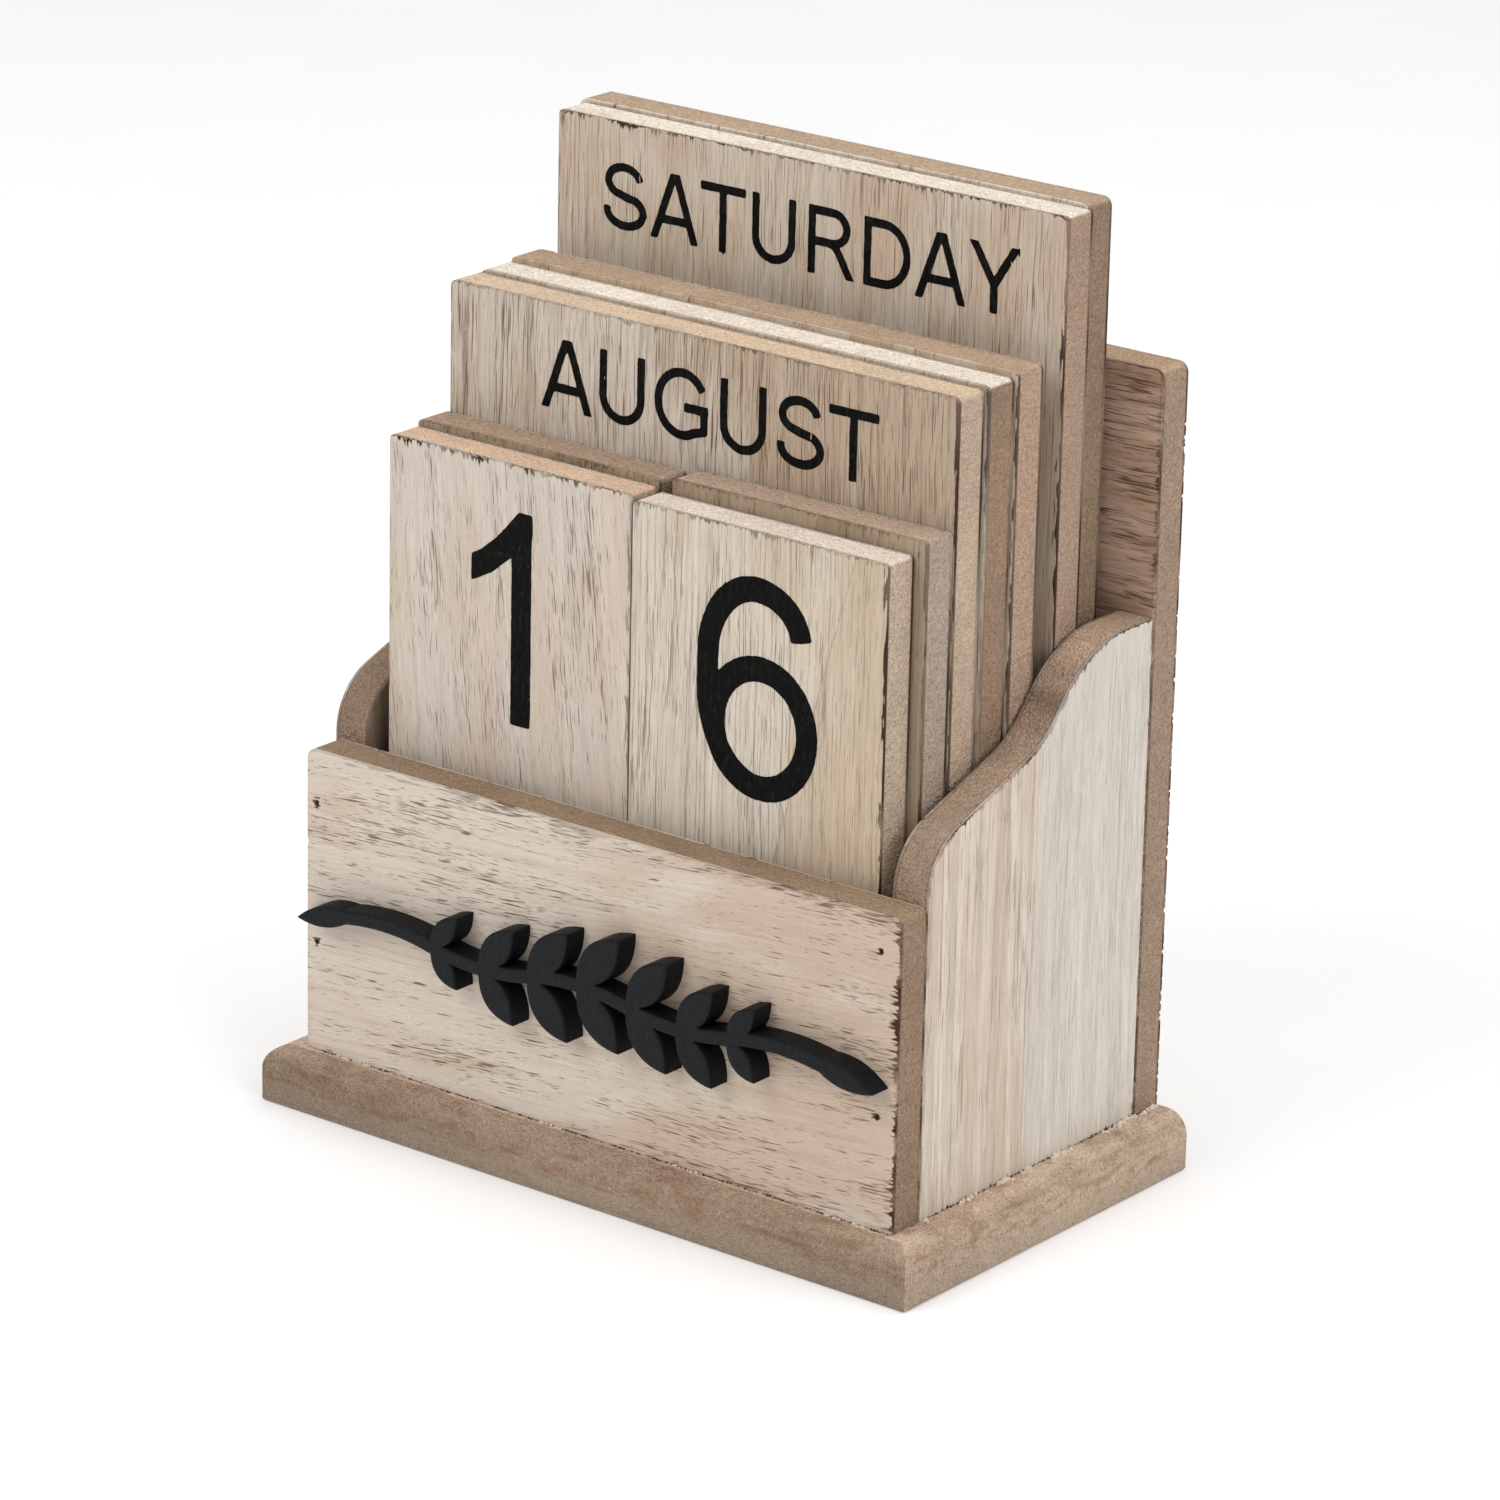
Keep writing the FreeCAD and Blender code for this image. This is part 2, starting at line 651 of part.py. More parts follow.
def make_stem(body, size):
    """Sweep the stem's flat section along equal arcs that bulge up and down in turn."""
    path = new_sketch(body, "XZ_Plane")
    radius, chord = size.stem_wave_radius.number, size.wave.number
    reach = (size.wave / (2 * size.stem_wave_radius)).arcsine().number
    drop = radius * math.cos(math.radians(reach))
    start = -size.stem_length / 2
    earlier = None
    for wave in range(STEM_WAVES):
        middle = start.number + chord * (wave + 0.5)
        if wave % 2 == 0:
            piece = arc(path, (middle, -drop), radius, 90 - reach, 90 + reach)
            left, right = (piece, At.END), (piece, At.START)
        else:
            piece = arc(path, (middle, drop), radius, 270 - reach, 270 + reach)
            left, right = (piece, At.START), (piece, At.END)
        if earlier is None:
            locate(path, *left, start, ZERO)
        else:
            constrain(path, "Coincident", *earlier, *left)
        constrain(path, "PointOnObject", *right, LEVEL_AXIS)
        dimension(path, "DistanceX", *left, *right, size=size.wave)
        dimension(path, "Radius", piece, size=size.stem_wave_radius)
        earlier = right

    section = new_sketch(body, "YZ_Plane", start)
    half = size.stem_width.number / 2
    foot, back = rectangle(section, (-size.sprig_thickness.number, -half), (0, half))[:2]
    constrain(section, "Symmetric", back, At.START, back, At.END, *ORIGIN)
    dimension(section, "DistanceX", foot, At.START, foot, At.END, size=size.sprig_thickness)
    dimension(section, "DistanceY", back, At.START, back, At.END, size=size.stem_width)

    stem = body.newObject("PartDesign::AdditivePipe", "Stem")
    stem.Profile = section
    stem.Spine = (path, [f"Edge{number}" for number in range(1, STEM_WAVES + 1)])
    body.Document.recompute()


def add_leaf(body, size, foot, angle, length, width):
    """Add one pointed leaf between two equal arcs, turned about its foot on the stem."""
    sketch = new_sketch(body, "XZ_Plane")
    sketch.setExpression("AttachmentOffset.Base.x", foot[0].formula)
    sketch.setExpression("AttachmentOffset.Base.y", foot[1].formula)
    sketch.AttachmentOffset.Rotation = Rotation(Vector(0, 0, 1), angle.number)
    sketch.setExpression("AttachmentOffset.Rotation.Angle", angle.formula)
    radius = (length * length + width * width) / (4 * width)
    half = length.number / 2
    reach = math.degrees(math.asin(half / radius.number))
    drop = radius.number - width.number / 2
    upper = arc(sketch, (half, -drop), radius.number, 90 - reach, 90 + reach)
    lower = arc(sketch, (half, drop), radius.number, 270 - reach, 270 + reach)
    join(sketch, "Coincident", [((upper, At.START), (lower, At.END)), ((upper, At.END), (lower, At.START)),
                                ((upper, At.END), ORIGIN)])
    constrain(sketch, "PointOnObject", upper, At.START, LEVEL_AXIS)
    dimension(sketch, "DistanceX", upper, At.END, upper, At.START, size=length)
    dimension(sketch, "Radius", upper, size=radius)
    dimension(sketch, "Radius", lower, size=radius)
    extrude(body, sketch, size.sprig_thickness)


# ---------------------------------------------------------------- tiles

def make_tile(doc, size, name, row, x, outline):
    """One loose tile that stands on the base in its row."""
    names = [f"{name}_front_veneer", f"{name}_core", f"{name}_back_veneer"]
    position = (x, size.tray_y + size.row_depth[row], size.base_thickness)
    return layered_board(doc, size, names, outline, size.tile_core, position)


def make_tiles(doc, size):
    """Two rows of two number tiles, then three month tiles and two day tiles across the tray."""
    layers = []
    half_step = (size.number_width + size.pair_gap) / 2
    for row in ROWS:
        kind, rank = row.split("_")
        corner = getattr(size, f"{row}_corner", getattr(size, f"{kind}_corner"))
        if kind == "number":
            for side, direction in SIDES.items():
                spot = f"{rank}_{side}"
                shift = getattr(size, f"{spot}_shift", size.pair_shift)
                outline = (size.number_width, getattr(size, f"{spot}_height"), corner)
                layers += make_tile(doc, size, f"number_tile_{spot}", row,
                                    direction * half_step + shift, outline)
        else:
            outline = (size.wide_width, getattr(size, f"{row}_height"), corner)
            layers += make_tile(doc, size, f"{kind}_tile_{rank}", row,
                                getattr(size, f"{row}_shift"), outline)
    return layers


# ---------------------------------------------------------------- document

def check(doc, parts):
    """Stop if any object failed, or any sub-part is empty or not a valid shape."""
    broken = [item.Name for item in doc.Objects if {"Invalid", "Error"} & set(item.State)]
    broken += [part.Label for part in parts if part.Shape.isNull() or not part.Shape.isValid()]
    if broken:
        raise ValueError(f"failed objects: {broken}")


def report(part):
    box = part.Shape.BoundBox
    print(f"{part.Label}: {len(part.Shape.Solids)} solids, {part.Shape.Volume:.1f} mm3, "
          f"x {box.XMin:.2f}..{box.XMax:.2f} y {box.YMin:.2f}..{box.YMax:.2f} "
          f"z {box.ZMin:.2f}..{box.ZMax:.2f}")


def main():
    doc = FreeCAD.newDocument("desk_calendar")
    size = make_sheet(doc)
    add_layout(size)
    parts = [make_base(doc, size)]
    parts += make_front_panel(doc, size)
    parts += make_back_panel(doc, size)
    for side in SIDES:
        parts += make_side_panel(doc, size, side)
    parts.append(make_sprig(doc, size))
    parts += make_brads(doc, size)
    parts += make_tiles(doc, size)
    doc.recompute()
    check(doc, parts)
    os.makedirs("parts", exist_ok=True)
    for part in parts:
        part.Shape.exportStep(f"parts/{part.Label}.step")
        report(part)


main()
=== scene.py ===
"""Looks of a perpetual desk calendar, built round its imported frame.

Sizes are in millimetres until a mesh is finished, when they become the frame's metres.
X runs to the right, Y to the back and Z up. The front of the calendar faces -Y.
"""

import logging
import math
from collections.abc import Callable, Iterable
from dataclasses import dataclass, field, replace
from enum import Enum, IntEnum
from functools import partial

import bmesh
import bpy
import numpy as np
from mathutils import Euler, Matrix, Vector
from mathutils.geometry import delaunay_2d_cdt


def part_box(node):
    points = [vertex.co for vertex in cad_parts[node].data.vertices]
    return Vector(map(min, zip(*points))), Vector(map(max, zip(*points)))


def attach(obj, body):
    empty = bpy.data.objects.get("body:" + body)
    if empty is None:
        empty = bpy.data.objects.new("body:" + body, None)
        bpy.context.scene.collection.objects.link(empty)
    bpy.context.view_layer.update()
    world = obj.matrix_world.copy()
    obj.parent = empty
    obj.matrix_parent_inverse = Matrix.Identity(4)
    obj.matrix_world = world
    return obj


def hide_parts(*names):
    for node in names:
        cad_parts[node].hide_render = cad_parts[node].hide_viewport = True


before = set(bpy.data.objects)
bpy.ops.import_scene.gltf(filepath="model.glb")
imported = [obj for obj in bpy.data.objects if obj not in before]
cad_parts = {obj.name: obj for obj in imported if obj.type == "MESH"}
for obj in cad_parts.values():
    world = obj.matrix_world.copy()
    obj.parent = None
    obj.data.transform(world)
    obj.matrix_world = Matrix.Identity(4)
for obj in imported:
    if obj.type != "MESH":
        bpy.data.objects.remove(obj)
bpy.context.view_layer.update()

Mesh, Object, Material = bpy.types.Mesh, bpy.types.Object, bpy.types.Material
Socket = bpy.types.NodeSocket
Random = np.random.Generator

LOG = logging.getLogger("calendar")
MM = 0.001
LUMP_ROUGHNESS = 0.6              # how strong the finer layers of the noise are


# ---- named options

class Face(Enum):
    """The side that a flat layer shows, as its normal axis and the sense along it."""

    FRONT = (1, -1)
    BACK = (1, 1)
    LEFT = (0, -1)
    RIGHT = (0, 1)

    @property
    def axis(self) -> int:
        """Index of the axis that the face looks along."""
        return self.value[0]

    @property
    def sense(self) -> int:
        """Direction of the outward normal along that axis."""
        return self.value[1]

    @property
    def plane(self) -> list[int]:
        """Indices of the level axis and the upright axis in the face's plane."""
        return [1 - self.axis, 2]

    def lift(self, flat: np.ndarray, depth: np.ndarray | float) -> np.ndarray:
        """Put points of the plane into space.

        Args:
            flat: Places in the plane, one row each.
            depth: Their coordinates along the normal axis.

        Returns:
            The places in space, one row each.
        """
        solid = np.empty((len(flat), 3))
        solid[:, self.plane] = flat
        solid[:, self.axis] = depth
        return solid


class Grain(Enum):
    """Which way the wood runs, as the axes along and across it."""

    LEVEL = ("X", "Z")
    UPRIGHT = ("Z", "X")
    UPRIGHT_SIDE = ("Z", "Y")


class Layer(IntEnum):
    """Where in the noise each mark of a veneer is read, so that no two follow each other."""

    WANDER = 0
    RIPPLE = 1
    YEARS = 3
    BREAKS = 5
    CROWD = 7
    PORES = 9
    FINE_PORES = 11
    FIBRES = 13
    LONG_FIBRES = 14
    STREAKS = 15
    PATCHES = 17
    TEETH = 19
    SCORCHES = 23


class Slot(Enum):
    """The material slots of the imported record."""

    BASE = "base_fibreboard"
    PANEL = "panel_fibreboard"
    TILE = "tile_fibreboard"
    TRAY_VENEER = "tray_veneer"
    TILE_VENEER = "tile_veneer"
    PAINT = "black_paint"
    STEEL = "brad_steel"


# ---- colours and shader graphs

def linear(colour: str) -> tuple[float, float, float, float]:
    """Turn a screen colour into the renderer's linear one.

    Args:
        colour: Red, green and blue as six hex digits, such as "c8b49a".

    Returns:
        The linear channels, and full cover.
    """
    channels = [int(colour[i:i + 2], 16) / 255 for i in (0, 2, 4)]
    straight = [c / 12.92 if c <= 0.04045 else ((c + 0.055) / 1.055) ** 2.4 for c in channels]
    return (*straight, 1.0)


class Wiring:
    """Short calls that add nodes to a tree, for materials and for geometry alike."""

    tree: bpy.types.NodeTree

    def node(self, kind: str, sockets: dict, **settings: object) -> bpy.types.Node:
        """Add a node.

        Args:
            kind: Its full type name.
            sockets: Values or links for its inputs, by name or index; several links as a list.
            **settings: Its properties.

        Returns:
            The node.
        """
        made = self.tree.nodes.new(kind)
        for key, value in settings.items():
            setattr(made, key, value)
        for key, value in sockets.items():
            for one in value if isinstance(value, list) else [value]:
                if isinstance(one, Socket):
                    self.tree.links.new(one, made.inputs[key])
                else:
                    made.inputs[key].default_value = one
        return made

    def math(self, operation: str, *values: object) -> Socket:
        """One step of arithmetic on numbers or sockets."""
        return self.node("ShaderNodeMath", dict(enumerate(values)), operation=operation).outputs[0]

    def times(self, value: object, factor: object) -> Socket:
        """Multiply two numbers."""
        return self.math("MULTIPLY", value, factor)

    def affine(self, value: object, slope: object, base: object) -> Socket:
        """Multiply two numbers and add a third."""
        return self.math("MULTIPLY_ADD", value, slope, base)

    def vector(self, x: object, y: object, z: object) -> Socket:
        """Join three numbers."""
        return self.node("ShaderNodeCombineXYZ", {0: x, 1: y, 2: z}).outputs[0]

    def arrow(self, operation: str, *values: object) -> Socket:
        """One step of arithmetic on vectors."""
        return self.node("ShaderNodeVectorMath", dict(enumerate(values)), operation=operation).outputs[0]

    def scale(self, vector: object, factor: object) -> Socket:
        """Multiply a vector or a colour by a number."""
        sockets = {0: vector, "Scale": factor}
        return self.node("ShaderNodeVectorMath", sockets, operation="SCALE").outputs[0]


class Graph(Wiring):
    """The nodes of one material, in the piece's own coordinates."""

    def __init__(self, name: str) -> None:
        """Start a material with an empty surface shader.

        Args:
            name: The material's name.
        """
        self.material = bpy.data.materials.new(name)
        self.material.use_nodes = True
        self.tree = self.material.node_tree
        self.shader = self.tree.nodes["Principled BSDF"]
        place = self.node("ShaderNodeTexCoord", {}).outputs["Object"]
        apart = self.node("ShaderNodeSeparateXYZ", {0: self.scale(place, 1 / MM)})
        self.axes = dict(zip("XYZ", apart.outputs))    # in millimetres

    def blend(self, share: object, low: object, high: object) -> Socket:
        """Mix two colours by a share from 0 to 1."""
        sockets = {0: share, 6: low, 7: high}
        return self.node("ShaderNodeMix", sockets, data_type="RGBA").outputs[2]

    def tint(self, amount: object, strength: float, colour: object, shade: str) -> Socket:
        """Blend a screen colour in where an amount is high, at most as strongly as stated."""
        return self.blend(self.times(amount, strength), colour, linear(shade))

    def fade(self, value: object, start: object, end: object) -> Socket:
        """Rise smoothly from 0 at the start to 1 at the end."""
        sockets = {0: value, 1: start, 2: end}
        return self.node("ShaderNodeMapRange", sockets, interpolation_type="SMOOTHSTEP").outputs[0]

    def noise(self, place: object, detail: float, roughness: float) -> Socket:
        """Soft noise about 0.5 whose lumps are one unit of the place across."""
        sockets = {"Vector": place, "Scale": 1.0, "Detail": detail, "Roughness": roughness}
        return self.node("ShaderNodeTexNoise", sockets).outputs[0]

    def lumps(self, size: float, shift: float, detail: float, tall: float = 1.0) -> Socket:
        """Noise over the piece.

        Args:
            size: How large its lumps are, in millimetres.
            shift: Where in the noise the piece lies.
            detail: How many finer layers it has.
            tall: How far the lumps are stretched upwards.

        Returns:
            A value about 0.5.
        """
        sizes = {"X": size, "Y": size, "Z": size * tall}
        places = (self.affine(self.axes[a], 1 / sizes[a], shift) for a in "XYZ")
        return self.noise(self.vector(*places), detail, LUMP_ROUGHNESS)

    def swing(self, colour: object, value: object, amount: float) -> Socket:
        """Make a colour lighter and darker with noise, which lies about 0.5, by an amount."""
        centred = self.math("SUBTRACT", value, 0.5)
        return self.scale(colour, self.affine(centred, 4 * amount, 1.0))

    def attribute(self, name: str) -> Socket:
        """Read a number that the mesh carries."""
        return self.node("ShaderNodeAttribute", {}, attribute_name=name).outputs["Fac"]

    def finish(self, colour: object, roughness: float, gloss: float,
               height: object, relief: float) -> Material:
        """Wire up the surface.

        Args:
            colour: The base colour.
            roughness: How matt it is.
            gloss: Specular level.
            height: Relief from 0 to 1.
            relief: Depth of the relief in millimetres.

        Returns:
            The material.
        """
        bump = self.node("ShaderNodeBump", {"Height": height, "Distance": relief * MM, "Strength": 1.0})
        self.tree.links.new(bump.outputs[0], self.shader.inputs["Normal"])
        self.tree.links.new(colour, self.shader.inputs["Base Color"])
        self.shader.inputs["Roughness"].default_value = roughness
        self.shader.inputs["Specular IOR Level"].default_value = gloss
        return self.material


# ---- finishes

LEAF_BORDER = 0.06                # half the width over which one leaf of veneer meets the next
LEAF_SHIFT = 57.0                 # how far along the log the next leaf comes from
GRIT_SIZE = 1 / 5.5
STEP_SHIFT = 1.37                 # distance in the noise between one layer, or seed, and the next


class Cut(Graph):
    """A material whose marks follow the grain: along it, and in lanes that wander across it."""

    def __init__(self, name: str, grain: Grain, seed: float) -> None:
        """Start the material with straight lanes.

        Args:
            name: The material's name.
            grain: Which way the wood runs.
            seed: Which cut of the wood this is.
        """
        super().__init__(name)
        self.along, self.lane = (self.axes[letter] for letter in grain.value)
        self.seed = seed

    def marks(self, layer: Layer, length: float, width: float, detail: float = 2.0) -> Socket:
        """Noise that is stretched along the grain.

        Args:
            layer: Where in the noise it is read.
            length: How long its marks are.
            width: How wide they are.
            detail: How many finer layers it has.

        Returns:
            A value about 0.5.
        """
        place = self.vector(self.math("DIVIDE", self.along, length), self.math("DIVIDE", self.lane, width),
                            (self.seed + layer) * STEP_SHIFT)
        return self.noise(place, detail, 0.55)


@dataclass(frozen=True)
class Veneer:
    """Pale open-pored hardwood cut along the grain: growth lines, pores and fine fibres."""

    grain: Grain
    pale: str = "cfc0b1"
    warm: str = "c0ab97"
    line: str = "9a8270"          # porous start of each year's growth
    pore: str = "6b5544"
    burnt: str = "3c281c"
    year: float = 2.6             # width of one year's growth
    line_depth: float = 0.45
    line_width: float = 0.4       # share of the year over which the line fades
    pore_length: float = 2.4
    pore_width: float = 0.16
    pore_share: float = 0.5       # how many pores, from 0 to 1
    pore_depth: float = 0.7
    sway: float = 2.0             # how far the grain wanders slowly
    ripple: float = 0.3           # how far it wanders within a centimetre
    patch: float = 30.0           # length of the pale and warm patches
    patch_width: float = 9.0
    streak: float = 0.06
    fibre: float = 0.07
    speck: float = 0.05
    burn_reach: float = 0.3
    lean: float = 0.0             # how far the grain climbs for each millimetre along it
    crowd: float = 0.5            # how strongly the pores keep together
    turn: tuple[float, float] | None = None    # from where to where along x it turns from pale to warm
    joint: tuple[float, float] | None = None   # where a second leaf starts, and its border's lean
    beyond: str = "d8cfc4"        # what the second leaf looks like
    cover: float = 0.5            # how strongly

    def material(self, name: str, seed: float) -> Material:
        """Build the finish.

        Args:
            name: The material's name.
            seed: Which cut of the wood this is.

        Returns:
            The material.
        """
        cut = Cut(name, self.grain, seed)
        across = cut.lane
        cut.lane = cut.affine(cut.along, -self.lean, across)
        second = 0.0
        if self.joint is not None:
            place, lean = self.joint
            border = cut.affine(cut.along, -lean, across)
            second = cut.fade(border, place - LEAF_BORDER, place + LEAF_BORDER)
            cut.lane = cut.affine(second, LEAF_SHIFT, cut.lane)
        drifts = ((Layer.WANDER, 75, 32, self.sway), (Layer.RIPPLE, 9, 5, self.ripple))
        for layer, length, width, reach in drifts:
            drift = cut.math("SUBTRACT", cut.marks(layer, length, width, 1), 0.5)
            cut.lane = cut.affine(drift, 2 * reach, cut.lane)

        line = self._growth(cut)
        pores = self._pores(cut, line)
        fibre = cut.times(cut.marks(Layer.LONG_FIBRES, 15, 0.55), 0.35)
        fibre = cut.affine(cut.marks(Layer.FIBRES, 4.2, 0.17, 1), 0.65, fibre)
        grit = cut.lumps(GRIT_SIZE, 0, 2)
        colour = cut.blend(self._patches(cut), linear(self.pale), linear(self.warm))
        colour = cut.tint(line, self.line_depth, colour, self.line)
        colour = cut.tint(pores, self.pore_depth, colour, self.pore)
        if self.joint is not None:
            colour = cut.tint(second, self.cover, colour, self.beyond)
        streaks = cut.marks(Layer.STREAKS, 50, 1.5)
        for value, amount in ((fibre, self.fibre), (streaks, self.streak), (grit, self.speck)):
            colour = cut.swing(colour, value, amount)
        colour = cut.blend(self._scorch(cut), colour, linear(self.burnt))
        height = cut.math("ADD", fibre, cut.times(grit, 0.5))
        height = cut.math("SUBTRACT", height, cut.times(pores, 0.7))
        return cut.finish(colour, 0.75, 0.2, height, 0.1)

    def _growth(self, cut: Cut) -> Socket:
        """Lines where each year's growth starts.

        Args:
            cut: The wood.

        Returns:
            How strong the line is, from 0 to 1.
        """
        uneven = cut.times(cut.marks(Layer.YEARS, 90, 1.7 * self.year, 1), 2.6)
        count = cut.affine(cut.lane, 1 / self.year, uneven)
        line = cut.fade(cut.math("FRACT", count), self.line_width, 0.0)
        broken = cut.fade(cut.marks(Layer.BREAKS, 16, 1.6 * self.year), 0.36, 0.64)
        return cut.times(line, cut.affine(broken, 0.85, 0.15))

    def _pores(self, cut: Cut, line: Socket) -> Socket:
        """Open pores: coarse dashes, and fine ones between them.

        Args:
            cut: The wood.
            line: The growth lines, which hold more of them.

        Returns:
            How deep the pore is, from 0 to 1.
        """
        crowd = cut.math("SUBTRACT", cut.marks(Layer.CROWD, 24, 4.5), 0.5)
        start = cut.affine(line, -0.06, 0.8 - 0.16 * self.pore_share)
        start = cut.affine(crowd, -self.crowd, start)
        coarse = cut.marks(Layer.PORES, self.pore_length, self.pore_width, 0.3)
        fine = cut.marks(Layer.FINE_PORES, self.pore_length * 0.5, self.pore_width * 0.7, 0)
        coarse = cut.fade(coarse, start, cut.math("ADD", start, 0.06))
        fine = cut.fade(fine, start, cut.math("ADD", start, 0.08))
        return cut.math("MAXIMUM", coarse, cut.times(fine, 0.6))

    def _patches(self, cut: Cut) -> Socket:
        """Long patches of the pale and the warm colour.

        Args:
            cut: The wood.

        Returns:
            0 where it is pale and 1 where it is warm.
        """
        patch = cut.marks(Layer.PATCHES, self.patch, self.patch_width)
        if self.turn is not None:
            patch = cut.math("SUBTRACT", patch, 0.15)
            patch = cut.affine(cut.fade(cut.axes["X"], *self.turn), 0.3, patch)
        return cut.fade(patch, 0.4, 0.6)

    def _scorch(self, cut: Cut) -> Socket:
        """Dark, ragged rim where the sheet's edge was burnt.

        Args:
            cut: The wood.

        Returns:
            How dark it is, from 0 to 1.
        """
        ragged = cut.times(cut.fade(cut.marks(Layer.TEETH, 4.5, 0.6), 0.42, 0.68),
                           cut.fade(cut.marks(Layer.SCORCHES, 9, 5), 0.3, 0.6))
        reach = cut.affine(ragged, self.burn_reach * 3, 0.07)
        dark = cut.fade(cut.attribute("rim"), reach, cut.times(reach, 0.4))
        return cut.times(dark, cut.attribute("burn"))


@dataclass(frozen=True)
class Fibreboard:
    """Bare fibreboard, sawn and sanded."""

    side: str = "ab9480"
    # colour of faces that look up, and of the base's ends: partly sanding, partly painted light
    top: str = "c9ab8c"
    speckle: float = 0.24
    mottle: float = 0.09
    scuff: float = 0.15           # strength of dark level rubs
    relief: float = 0.55
    moulded: float | None = None  # height above which a moulding cutter browned it
    moulded_fade: float = 1.6     # height over which that sets in
    browned: str = "8a5d42"
    sawn: str = "b3a392"          # what the paler foot below looks like
    rubbed: str = "4a3729"
    dark_fleck: str = "5f4a3a"
    pale_fleck: str = "e8d6bf"

    def material(self, name: str, seed: float) -> Material:
        """Build the finish.

        Args:
            name: The material's name.
            seed: Which piece of board this is.

        Returns:
            The material.
        """
        graph = Graph(name)
        grit, felt, patch = (graph.lumps(size, seed + step, detail)
                             for size, step, detail in ((0.33, 0, 1), (0.7, 7, 2), (11, 13, 3)))
        # blends to the top colour where the mesh says so: painted light on faces turned to the lamps, partly
        # sanding
        colour = graph.blend(graph.attribute("tone"), linear(self.side), linear(self.top))
        for value, amount in ((grit, self.speckle), (felt, self.speckle * 0.6), (patch, self.mottle)):
            colour = graph.swing(colour, value, amount)
        for step, shade in ((23, self.dark_fleck), (31, self.pale_fleck)):
            fleck = graph.fade(graph.lumps(0.5, seed + step, 1), 0.66, 0.76)
            colour = graph.tint(fleck, 0.2, colour, shade)
        rub = graph.times(graph.fade(graph.lumps(10, seed + 41, 3, 0.07), 0.5, 0.72),
                          graph.fade(graph.lumps(16, seed + 43, 2), 0.42, 0.62))
        colour = graph.tint(rub, self.scuff, colour, self.rubbed)
        if self.moulded is not None:
            level = graph.affine(graph.lumps(9, seed + 61, 1), 1.4, graph.axes["Z"])
            border = (self.moulded, self.moulded + self.moulded_fade)
            brown = graph.times(graph.fade(graph.lumps(5, seed + 67, 3, 0.32), 0.42, 0.7),
                                graph.fade(level, *border))
            colour = graph.tint(brown, 0.42, colour, self.browned)
            colour = graph.tint(graph.fade(level, *reversed(border)), 0.32, colour, self.sawn)
        # darker next to both sheets: partly glue, partly painted shade of the gaps between the layers and
        # between the tiles
        seam_and_shade = graph.fade(graph.attribute("rim"), 0.3, 0.0)
        colour = graph.scale(colour, graph.affine(seam_and_shade, -0.4, 1.0))
        return graph.finish(colour, 0.85, 0.12, graph.math("ADD", grit, felt), self.relief)


@dataclass(frozen=True)
class Paint:
    """Black paint, printed thinly on wood or brushed over fibreboard."""

    body: str = "090909"
    worn: str = "1c1b19"
    fleck: str = "6a6056"
    fleck_share: float = 0.3
    roughness: float = 0.6
    gloss: float = 0.06
    side: float = 0.0             # how much darker it is on the sides of a cut-out

    def material(self, name: str, seed: float, length: float = 1.0) -> Material:
        """Build the finish.

        Args:
            name: The material's name.
            seed: Where on the wood the paint lies.
            length: How far the wood below stretches the pattern upwards.

        Returns:
            The material.
        """
        graph = Graph(name)
        sizes = ((0.6, 0, 3), (0.22, 5, 2), (4.0, 17, 1), (0.28, 11, 1))
        thin, grit, rare, bare = (graph.lumps(size, seed + step, fine, length) for size, step, fine in sizes)
        colour = graph.blend(graph.fade(thin, 0.45, 0.75), linear(self.body), linear(self.worn))
        bare = graph.times(graph.fade(bare, 0.70, 0.76), graph.fade(rare, 0.45, 0.65))
        colour = graph.tint(bare, self.fleck_share, colour, self.fleck)
        if self.side:
            flank = graph.fade(graph.attribute("rim"), 0.3, 0.0)
            colour = graph.scale(colour, graph.affine(flank, -self.side, 1.0))
        return graph.finish(colour, self.roughness, self.gloss, graph.math("ADD", thin, grit), 0.05)


@dataclass(frozen=True)
class Steel:
    """Dull brad wire, browned at the head."""

    bright: str = "4d4640"
    dark: str = "231e1a"

    def material(self, name: str) -> Material:
        """Build the finish.

        Args:
            name: The material's name.

        Returns:
            The material.
        """
        graph = Graph(name)
        spots = graph.lumps(1 / 2.2, 0, 3)
        colour = graph.blend(graph.fade(spots, 0.3, 0.6), linear(self.dark), linear(self.bright))
        graph.shader.inputs["Metallic"].default_value = 0.8
        return graph.finish(colour, 0.55, 0.4, spots, 0.02)


# ---- meshes

SHARP_ANGLE = 32                  # degrees between faces past which their edge stays crisp
ON_FACE = 0.01                    # how near the outermost level a point still lies on a face
NO_RIM = 9.0                      # distance from the rim of a piece that has none


def box_of(node: str) -> tuple[Vector, Vector]:
    """The lowest and the highest corner of a frame node."""
    low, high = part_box(node)
    return low / MM, high / MM


def added(name: str, data: bpy.types.ID) -> Object:
    """Put a mesh, a lamp or a camera into the scene.

    Args:
        name: The object's name.
        data: What it holds.

    Returns:
        The object.
    """
    made = bpy.data.objects.new(name, data)
    bpy.context.scene.collection.objects.link(made)
    return made


def publish(name: str, mesh: Mesh, material: Material, body: str,
            nodes: Iterable[str] = ()) -> None:
    """Make a finished mesh a piece of the model.

    Args:
        name: The piece's name.
        mesh: Its mesh, in metres.
        material: Its finish.
        body: The body that it moves with.
        nodes: The frame's nodes that it stands for.
    """
    mesh.name = name
    mesh.materials.clear()
    mesh.materials.append(material)
    piece = added(name, mesh)
    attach(piece, body)
    if nodes:
        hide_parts(*nodes)
    LOG.info("%s: %d faces on %s", name, len(mesh.polygons), body)


